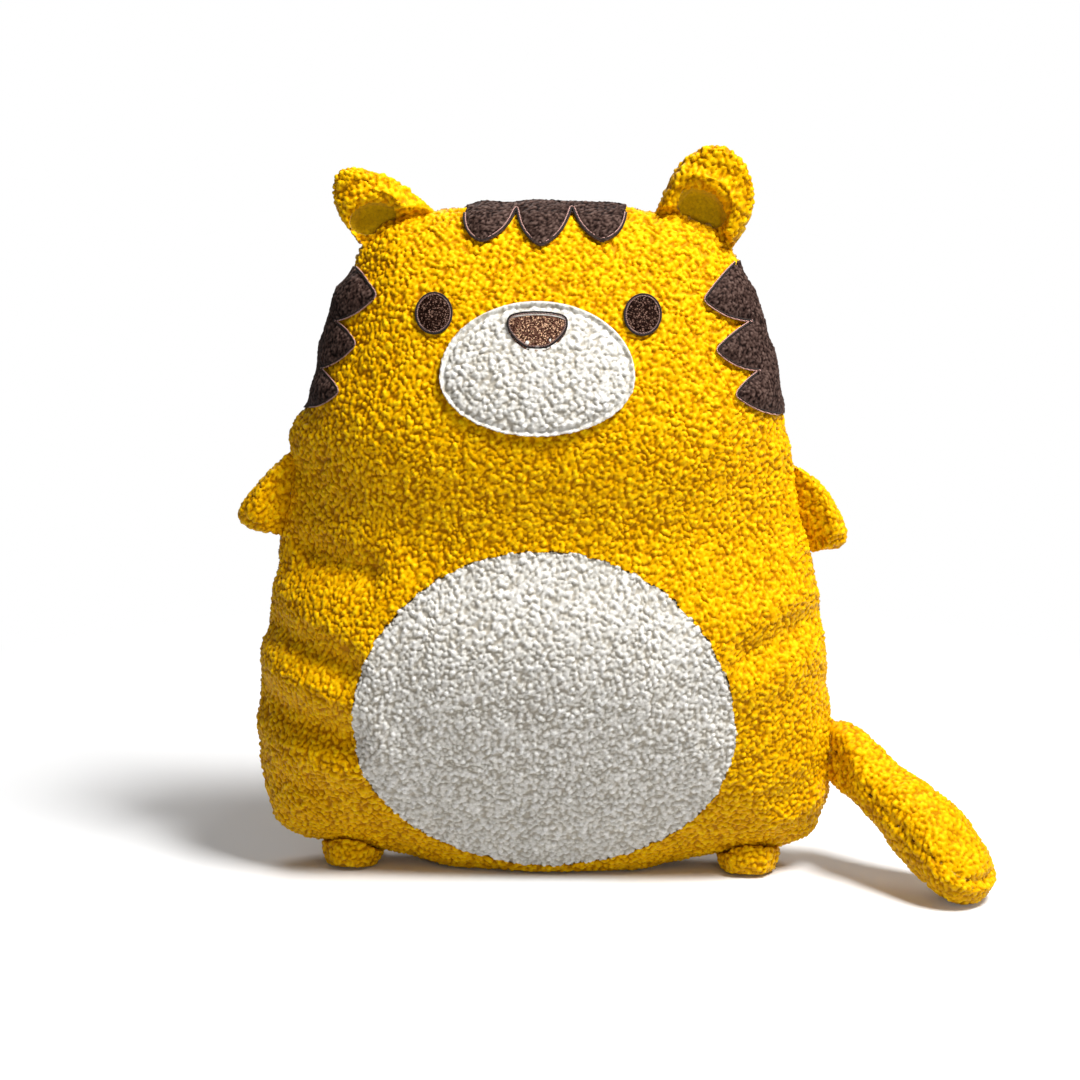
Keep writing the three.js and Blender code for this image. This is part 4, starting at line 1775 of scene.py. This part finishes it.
    def bend(self) -> tuple[Vector, Vector] | None:
        """Finds the stretch of the root that bends between the body's seam and the limb.

        Returns:
            Its two ends, in metres, or nothing where the limb is sewn flat.
        """
        if not self.joint:
            return None
        place, out, _ = self.hinge()
        ends = (place - self.bend_inside * out, place + self.bend_outside * out)
        return Vector(ends[0] * MM), Vector(ends[1] * MM)


@dataclass
class Ear(StuffedLimb):
    """An ear: a thick boucle rim rolled round a pale sunken lining, and a plain back; sizes in mm."""

    covers: tuple[str, str] = ("rim", "back")
    solids: tuple[str, str, str] = ("rim", "lining", "back")
    wall: float = 1.6
    root_reach: float = 22.0
    height: float = 35.7
    lining_across: float = 0.0
    lining_middle: float = 3.0
    lining_half_width: float = 13.0
    lining_half_height: float = 8.5
    lining_drop: float = 9.0
    lining_voxel: float = 0.7
    tucked: float = 1.8  # how far the lining reaches under the rim
    cup: float = 6.0
    floor_depth: float = 1.2  # how far in front of the ear's seam the lining stays
    roll: float = 4.6
    lean: float = 0.0  # how far the tip moves to the viewer's right along the fold line
    stretch: float = 1.0
    spread: float = 1.0
    taper: float = 0.0  # how much narrower it grows towards its tip
    forward: float = 9.0  # how far the tip leans to the front
    leaned: float = field(init=False, default=0.0)  # the same, once the skin leans
    seam_back: float = 2.0  # how far its seam runs behind the middle of its thickness
    pile: CurlPile = CurlPile(curl=3.0, seed=6)
    seam_tuck: float = 0.6

    def seam_line(self, out_of: np.ndarray) -> np.ndarray:
        """Gives the seam's y at distances out of the body, in mm."""
        back = self.seam_back * step_up(out_of, 2, 14)
        return back - self.leaned * np.clip(out_of, 0, None) / self.height

    def seam_distance(self, points: Places) -> np.ndarray:
        """Measures how far points lie from the ear's seam, in mm."""
        return np.abs(points[:, 1] - self.seam_line(self.reach(points)))

    def front_space(self, offset: float) -> Mesh:
        """Makes the space in front of the ear's seam, which leans with the ear.

        Args:
            offset: How far behind the seam it ends, in mm.

        Returns:
            A closed form to cut with.
        """
        place, out, along = self.hinge()
        out_of = np.linspace(-40, 80, 41)
        line = np.column_stack([self.seam_line(out_of) + offset, out_of])
        made = side_prism(np.vstack([line, [[-200, 80], [-200, -40]]]), 80)
        x, y, z = (places(made) / MM).T[:, :, None]
        put_places(made, (place + x * along + y * np.array([0, 1, 0]) + z * out) * MM)
        return made

    def warp(self, across: np.ndarray, out_of: np.ndarray) -> tuple[np.ndarray, np.ndarray]:
        """Moves places in the solid's plain dome to those in this ear's own outline.

        Args:
            across: Places along the fold line, in mm.
            out_of: Distances out of the body, in mm.

        Returns:
            Both after the move.
        """
        share = np.clip(out_of / self.height, 0, 1)
        up = np.clip(out_of, 0, None)
        moved = across * (self.spread - self.taper * share) + self.lean * share
        return moved, out_of + up * (self.stretch - 1)

    def lining_outline(self) -> Places:
        """Draws the lining's outline.

        Returns:
            Rows of x and z, in mm.
        """
        place, out, along = self.hinge()
        middle = (self.lining_across, self.lining_middle)
        shares = ellipse(middle, self.lining_half_width, self.lining_half_height, self.lining_drop, 64)
        across, out_of = self.warp(shares[:, 0], shares[:, 1])
        return (place + across[:, None] * along + out_of[:, None] * out)[:, [0, 2]]

    def shape(self, skin: Mesh) -> None:
        """Rolls the rim forward, sinks the lining into a cup and gives the ear its own outline.

        Args:
            skin: The ear's skin.
        """
        points = places(skin) / MM
        place, out, along = self.hinge()
        across, out_of = (points - place) @ along, (points - place) @ out
        ring = np.hypot(
            (across - self.lining_across) / self.lining_half_width,
            (out_of - self.lining_middle) / self.lining_half_height,
        )
        front = step_up(-points[:, 1], 0, 3)
        dip = self.cup * (1 - step_up(ring, 0.75, 1.25)) - self.roll * bell(ring - 1.6, 0.5)
        sunk = points[:, 1] + dip * front
        deepest = np.maximum(points[:, 1], -self.floor_depth)
        points[:, 1] = np.where(dip > 0, np.minimum(sunk, deepest), sunk)
        new_across, new_out = self.warp(across, out_of)
        points += (new_across - across)[:, None] * along + (new_out - out_of)[:, None] * out
        self.leaned = self.forward
        points[:, 1] -= self.leaned * np.clip(new_out, 0, None) / self.height
        put_places(skin, points * MM)

    def open_cover(self, first: Mesh) -> Mesh:
        """Cuts the cup out of the rim.

        Args:
            first: The rim.

        Returns:
            The lining, still in the rim's place.
        """
        lining = twin(first, f"{self.name}_lining_cloth")
        outline = self.lining_outline()
        wider = inset_line(outline, -self.tucked, closed=True)
        combine(lining, faced(prism(wider, -60, 0), BACKING), "INTERSECT")
        combine(first, faced(prism(outline, -60, 0), BACKING), "DIFFERENCE")
        return lining

    def fill_cover(self, skin: Mesh, lining: Mesh) -> None:
        """Sets the lining behind the rim.

        Args:
            skin: The ear's skin; not used.
            lining: The lining, in the rim's place.
        """
        remesh(lining, self.lining_voxel)
        put_places(lining, places(lining) + np.array([0, self.wall + 0.1, 0]) * MM)
        # the lining's colour is darkened with painted shade
        cloth = (self.wardrobe.lining, self.wardrobe.lining)
        dress(lining, self.body, Slot.EAR_LINING, [f"{self.name}_lining"], *cloth, bend=self.bend())


@dataclass
class Arm(StuffedLimb):
    """An arm sewn flat into the side seam; sizes in mm."""

    droop: float = 0.0  # degrees that it hangs lower than its solid
    lift: float = 0.0  # how much higher in the seam it is sewn
    length: float = 1.0  # times that of its solid

    def shape(self, skin: Mesh) -> None:
        """Moves the arm up its fold line and lets it hang lower from its root.

        Args:
            skin: The arm's skin.
        """
        place, out, _ = self.hinge()
        points = places(skin) / MM
        points += self.reach(points)[:, None] * (self.length - 1) * out
        turn = np.radians(-self.droop * np.sign(out[0])) * step_up(self.reach(points), 0, 20)
        x, z = points[:, 0] - place[0], points[:, 2] - place[2]
        points[:, 0] = place[0] + x * np.cos(turn) - z * np.sin(turn)
        points[:, 2] = place[2] + x * np.sin(turn) + z * np.cos(turn)
        points += self.lift * np.array([-abs(out[2]) * np.sign(out[0]), 0, abs(out[0])])
        put_places(skin, points * MM)


@dataclass
class Tail(StuffedLimb):
    """The tail, with a seam along both sides; sizes in mm."""

    covers: tuple[str, str] = ("upper", "under")
    solids: tuple[str, str, str] = ("upper", "under", "filling")
    seam_tuck: float = 1.1
    filling_start: float = 10.0
    root_height: float = 62.35
    rest_height: float = 17.6
    length: float = 103.0
    droop: tuple[float, float] = (-0.15, 0.74)  # where it starts and stops falling, as shares of its length
    yaw: float = -36.0
    notch: float = 4.0
    notch_length: float = 12.0
    shorter: float = 0.065  # share of its length that the stuffing takes up
    lift: float = 11.0  # how much higher the stuffed tail arches than its solid
    raised: float = field(init=False, default=0.0)  # the same, once the skin is arched
    # how much thicker it is stuffed than its smoothed solid, at distances along it
    fullness: Table = ((0, 4.5), (18, 2.4), (38, 0.6), (58, 2.0), (80, 5.0), (98, 3.8), (108, 1.6))
    # how much higher the stuffing pushes the upper cover, at distances along it
    loft: Table = ((0, 0), (24, 3.4), (38, 3.8), (54, 6.0), (73, 2), (88, -5), (108, -9))
    # how much higher the stuffing draws the under cover, at distances along it
    hollow: Table = ((0, 0), (12, 1.5), (28, 4.5), (44, 3.5), (64, 0), (108, 0))
    # how much higher the seam runs than its smoothed solid's, at distances along it
    seam_rise: Table = ((0, 2), (50, 5), (80, 3), (103, -4))

    def along(self, points: Places) -> np.ndarray:
        """Gives each point's distance along the tail, in mm."""
        place, _, _ = self.hinge()
        return (points[:, :2] - place[:2]) @ self.way()

    def way(self) -> np.ndarray:
        """Gives the tail's direction seen from above."""
        turn = math.radians(self.yaw)
        return np.array([math.cos(turn), math.sin(turn)])

    def arch(self, reach: np.ndarray) -> np.ndarray:
        """Gives how far the tail is raised at a distance along it, in mm."""
        return self.raised * (1 - step_up(reach, 66, 102))

    def seam_height(self, reach: np.ndarray) -> np.ndarray:
        """Gives the seam's height at distances along the tail.

        Args:
            reach: The distances, in mm.

        Returns:
            The heights, in mm.
        """
        share = step_up(reach / self.length, *self.droop)
        rise = looked_up(reach, self.seam_rise) * self.raised / self.lift
        return self.root_height + (self.rest_height - self.root_height) * share + self.arch(reach) + rise

    def seam_distance(self, points: Places) -> np.ndarray:
        """Measures how far points lie from the seam along the tail's sides, in mm."""
        return np.abs(points[:, 2] - self.seam_height(self.along(points)))

    def front_space(self, offset: float) -> Mesh:
        """Makes the space above the seam, to cut with.

        Args:
            offset: How far below the seam it ends, in mm.

        Returns:
            The closed space.
        """
        reach = np.linspace(-60, 170, 47)
        line = np.column_stack([reach, self.seam_height(reach) - offset])
        made = prism(np.vstack([line, [[170, 300], [-60, 300]]]), -120, 120)
        place, _, _ = self.hinge()
        turn = Matrix.Rotation(math.radians(self.yaw), 4, "Z")
        made.data.transform(Matrix.Translation(Vector((place[0], place[1], 0)) * MM) @ turn)
        return made

    def shape(self, skin: Mesh) -> None:
        """Arches the tail and presses the notch where the seam ends at the tip.

        Args:
            skin: The tail's skin.
        """
        points = places(skin) / MM
        self.raised = self.lift
        reach = self.along(points)
        points += outward(skin) * looked_up(reach, self.fullness)[:, None]
        upper = step_up(points[:, 2] + self.arch(reach) - self.seam_height(reach), -6, 8)
        points[:, 2] += self.arch(reach) + upper * looked_up(reach, self.loft)
        points[:, 2] += (1 - upper) * looked_up(reach, self.hollow)
        points[:, :2] -= (self.shorter * np.clip(reach, 0, None))[:, None] * self.way()
        put_places(skin, points * MM)
        tip = step_up(self.along(points), self.length - self.notch_length, self.length)
        near = bell(self.seam_distance(points), 3.0) * tip
        put_places(skin, (points - outward(skin) * (self.notch * near)[:, None]) * MM)


# The studio


@dataclass(frozen=True)
class Studio:
    """The camera of the photograph, a pale floor and soft lamps; sizes in mm."""

    azimuth: float = 3.0
    elevation: float = 12.5
    distance: float = 1300.0
    lens: float = 79.0
    sensor: float = 36.0
    target: tuple[float, float, float] = (-2.7, 0.0, 186.5)
    lit: tuple[float, float, float] = (0.0, 0.0, 180.0)  # what the lamps face
    ambient: float = 0.12  # how much of the white background lights the toy
    floor_radius: float = 6000.0
    fade: tuple[float, float] = (0.2, 0.62)  # metres from the toy, where the floor turns white
    floor_shade: str = "#f4f4f4"
    bounce_shade: str = "#c4c4c4"  # what the floor throws back on the toy

    def build(self) -> None:
        """Sets up the camera, the lamps, the world and the floor."""
        turn, lift = math.radians(self.azimuth), math.radians(self.elevation)
        back = Vector((math.sin(turn) * math.cos(lift), -math.cos(turn) * math.cos(lift), math.sin(lift)))
        data = bpy.data.cameras.new("photo_camera")
        data.lens, data.sensor_width = self.lens, self.sensor
        place = (Vector(self.target) + back * self.distance) * MM
        bpy.context.scene.camera = self.aimed(data, place, -back)
        self.lamp("key_lamp", (700, -500, 1600), 520, 49.0)
        self.lamp("fill_lamp", (600, -1500, 300), 900, 3.5)
        self.lamp("rim_lamp", (-300, 900, 1200), 700, 6.0)
        self.world()
        self.floor()
        bpy.context.scene.view_settings.view_transform = "Standard"

    @staticmethod
    def aimed(data: bpy.types.ID, place: Vector, way: Vector) -> bpy.types.Object:
        """Places a camera or a lamp.

        Args:
            data: Its settings.
            place: Where it hangs, in metres.
            way: The direction that it faces.

        Returns:
            The placed object.
        """
        made = bpy.data.objects.new(data.name, data)
        bpy.context.scene.collection.objects.link(made)
        made.location = place
        made.rotation_mode = "QUATERNION"
        made.rotation_quaternion = way.to_track_quat("-Z", "Y")
        return made

    def lamp(self, name: str, place: tuple[float, float, float], size: float, power: float) -> None:
        """Hangs a square lamp that faces the toy.

        Args:
            name: The lamp's name.
            place: Where it hangs, in mm.
            size: Its side, in mm.
            power: In watts.
        """
        data = bpy.data.lights.new(name, "AREA")
        data.energy, data.size = power, size * MM
        hung = Vector(place) * MM
        self.aimed(data, hung, Vector(self.lit) * MM - hung)

    def world(self) -> None:
        """Lights the toy evenly, and shows the camera plain white behind it."""
        world = bpy.data.worlds.new("studio_world")
        bpy.context.scene.world = world
        world.use_nodes = True
        tree = world.node_tree
        tree.nodes.clear()
        seen = add(tree, "LightPath").outputs["Is Camera Ray"]
        level = add(tree, "MapRange", {"To Min": self.ambient, "To Max": 1.0}, {"Value": seen})
        light = add(tree, "Background", {"Color": (1, 1, 1, 1)}, {"Strength": level.outputs[0]})
        add(tree, "OutputWorld", links={"Surface": light.outputs[0]})

    def floor(self) -> None:
        """Lays a round pale floor that fades into the white behind it."""
        bpy.ops.object.select_all(action="DESELECT")
        bpy.ops.mesh.primitive_circle_add(vertices=128, radius=self.floor_radius * MM, fill_type="NGON")
        floor = bpy.context.active_object
        floor.name = "pale_floor"
        # gives the toy a soft shadow to stand on, and a white sheet that has no edge
        paper = NodeMaterial("matte_white_paper")
        reach = add(paper.tree, "VectorMath", links={0: paper.place}, operation="LENGTH").outputs["Value"]
        seen = add(paper.tree, "LightPath").outputs["Is Camera Ray"]
        fade = paper.times(paper.spread(reach, 0.0, 1.0, *self.fade), seen)
        # sockets 6 and 7 of a mix of colours hold the two colours
        shades = {6: colour(self.bounce_shade), 7: colour(self.floor_shade)}
        shade = add(paper.tree, "Mix", shades, {0: seen}, data_type="RGBA")
        matt = add(paper.tree, "BsdfDiffuse", links={"Color": shade.outputs[2]}).outputs[0]
        white = add(paper.tree, "Emission", {"Color": (1, 1, 1, 1), "Strength": 1.0}).outputs[0]
        paint(floor, paper.close(add(paper.tree, "MixShader", links={0: fade, 1: matt, 2: white})))


EAR_FORMS = {
    Side.LEFT: {"lining_across": -7.0, "lean": -10.0, "stretch": 0.94, "spread": 0.98, "taper": 0.36},
    Side.RIGHT: {"lining_across": -2.0, "lean": -5.0, "stretch": 1.1, "spread": 1.04},
}
ARM_FORMS = {
    Side.LEFT: {"droop": 4.0, "lift": 14.0, "length": 1.1},
    Side.RIGHT: {"droop": 12.0, "lift": 8.5, "length": 0.97},
}


def main() -> None:
    """Builds the toy from its body outwards."""
    logging.basicConfig(level=logging.INFO, format="%(name)s: %(message)s", stream=sys.stdout)
    wardrobe = Wardrobe()
    Studio().build()
    shape = BodyShape()
    shape.build()
    BodyCovers(shape, wardrobe).build()
    Face(shape, wardrobe).build()
    Stripes(shape, wardrobe).build()
    for side in Side:
        ear, arm, foot = (f"{side.word}_{part}" for part in ("ear", "arm", "foot"))
        Ear(ear, ear, shape, wardrobe, f"{ear}_fold", **EAR_FORMS[side]).build()
        Arm(arm, arm, shape, wardrobe, f"{arm}_flap", **ARM_FORMS[side]).build()
        StuffedLimb(foot, "body", shape, wardrobe).build()
    Tail("tail", "tail", shape, wardrobe, "tail_swing").build()
    for leftover in (shape.skin, shape.coarse):
        bpy.data.objects.remove(leftover)


if __name__ == "__main__":
    main()
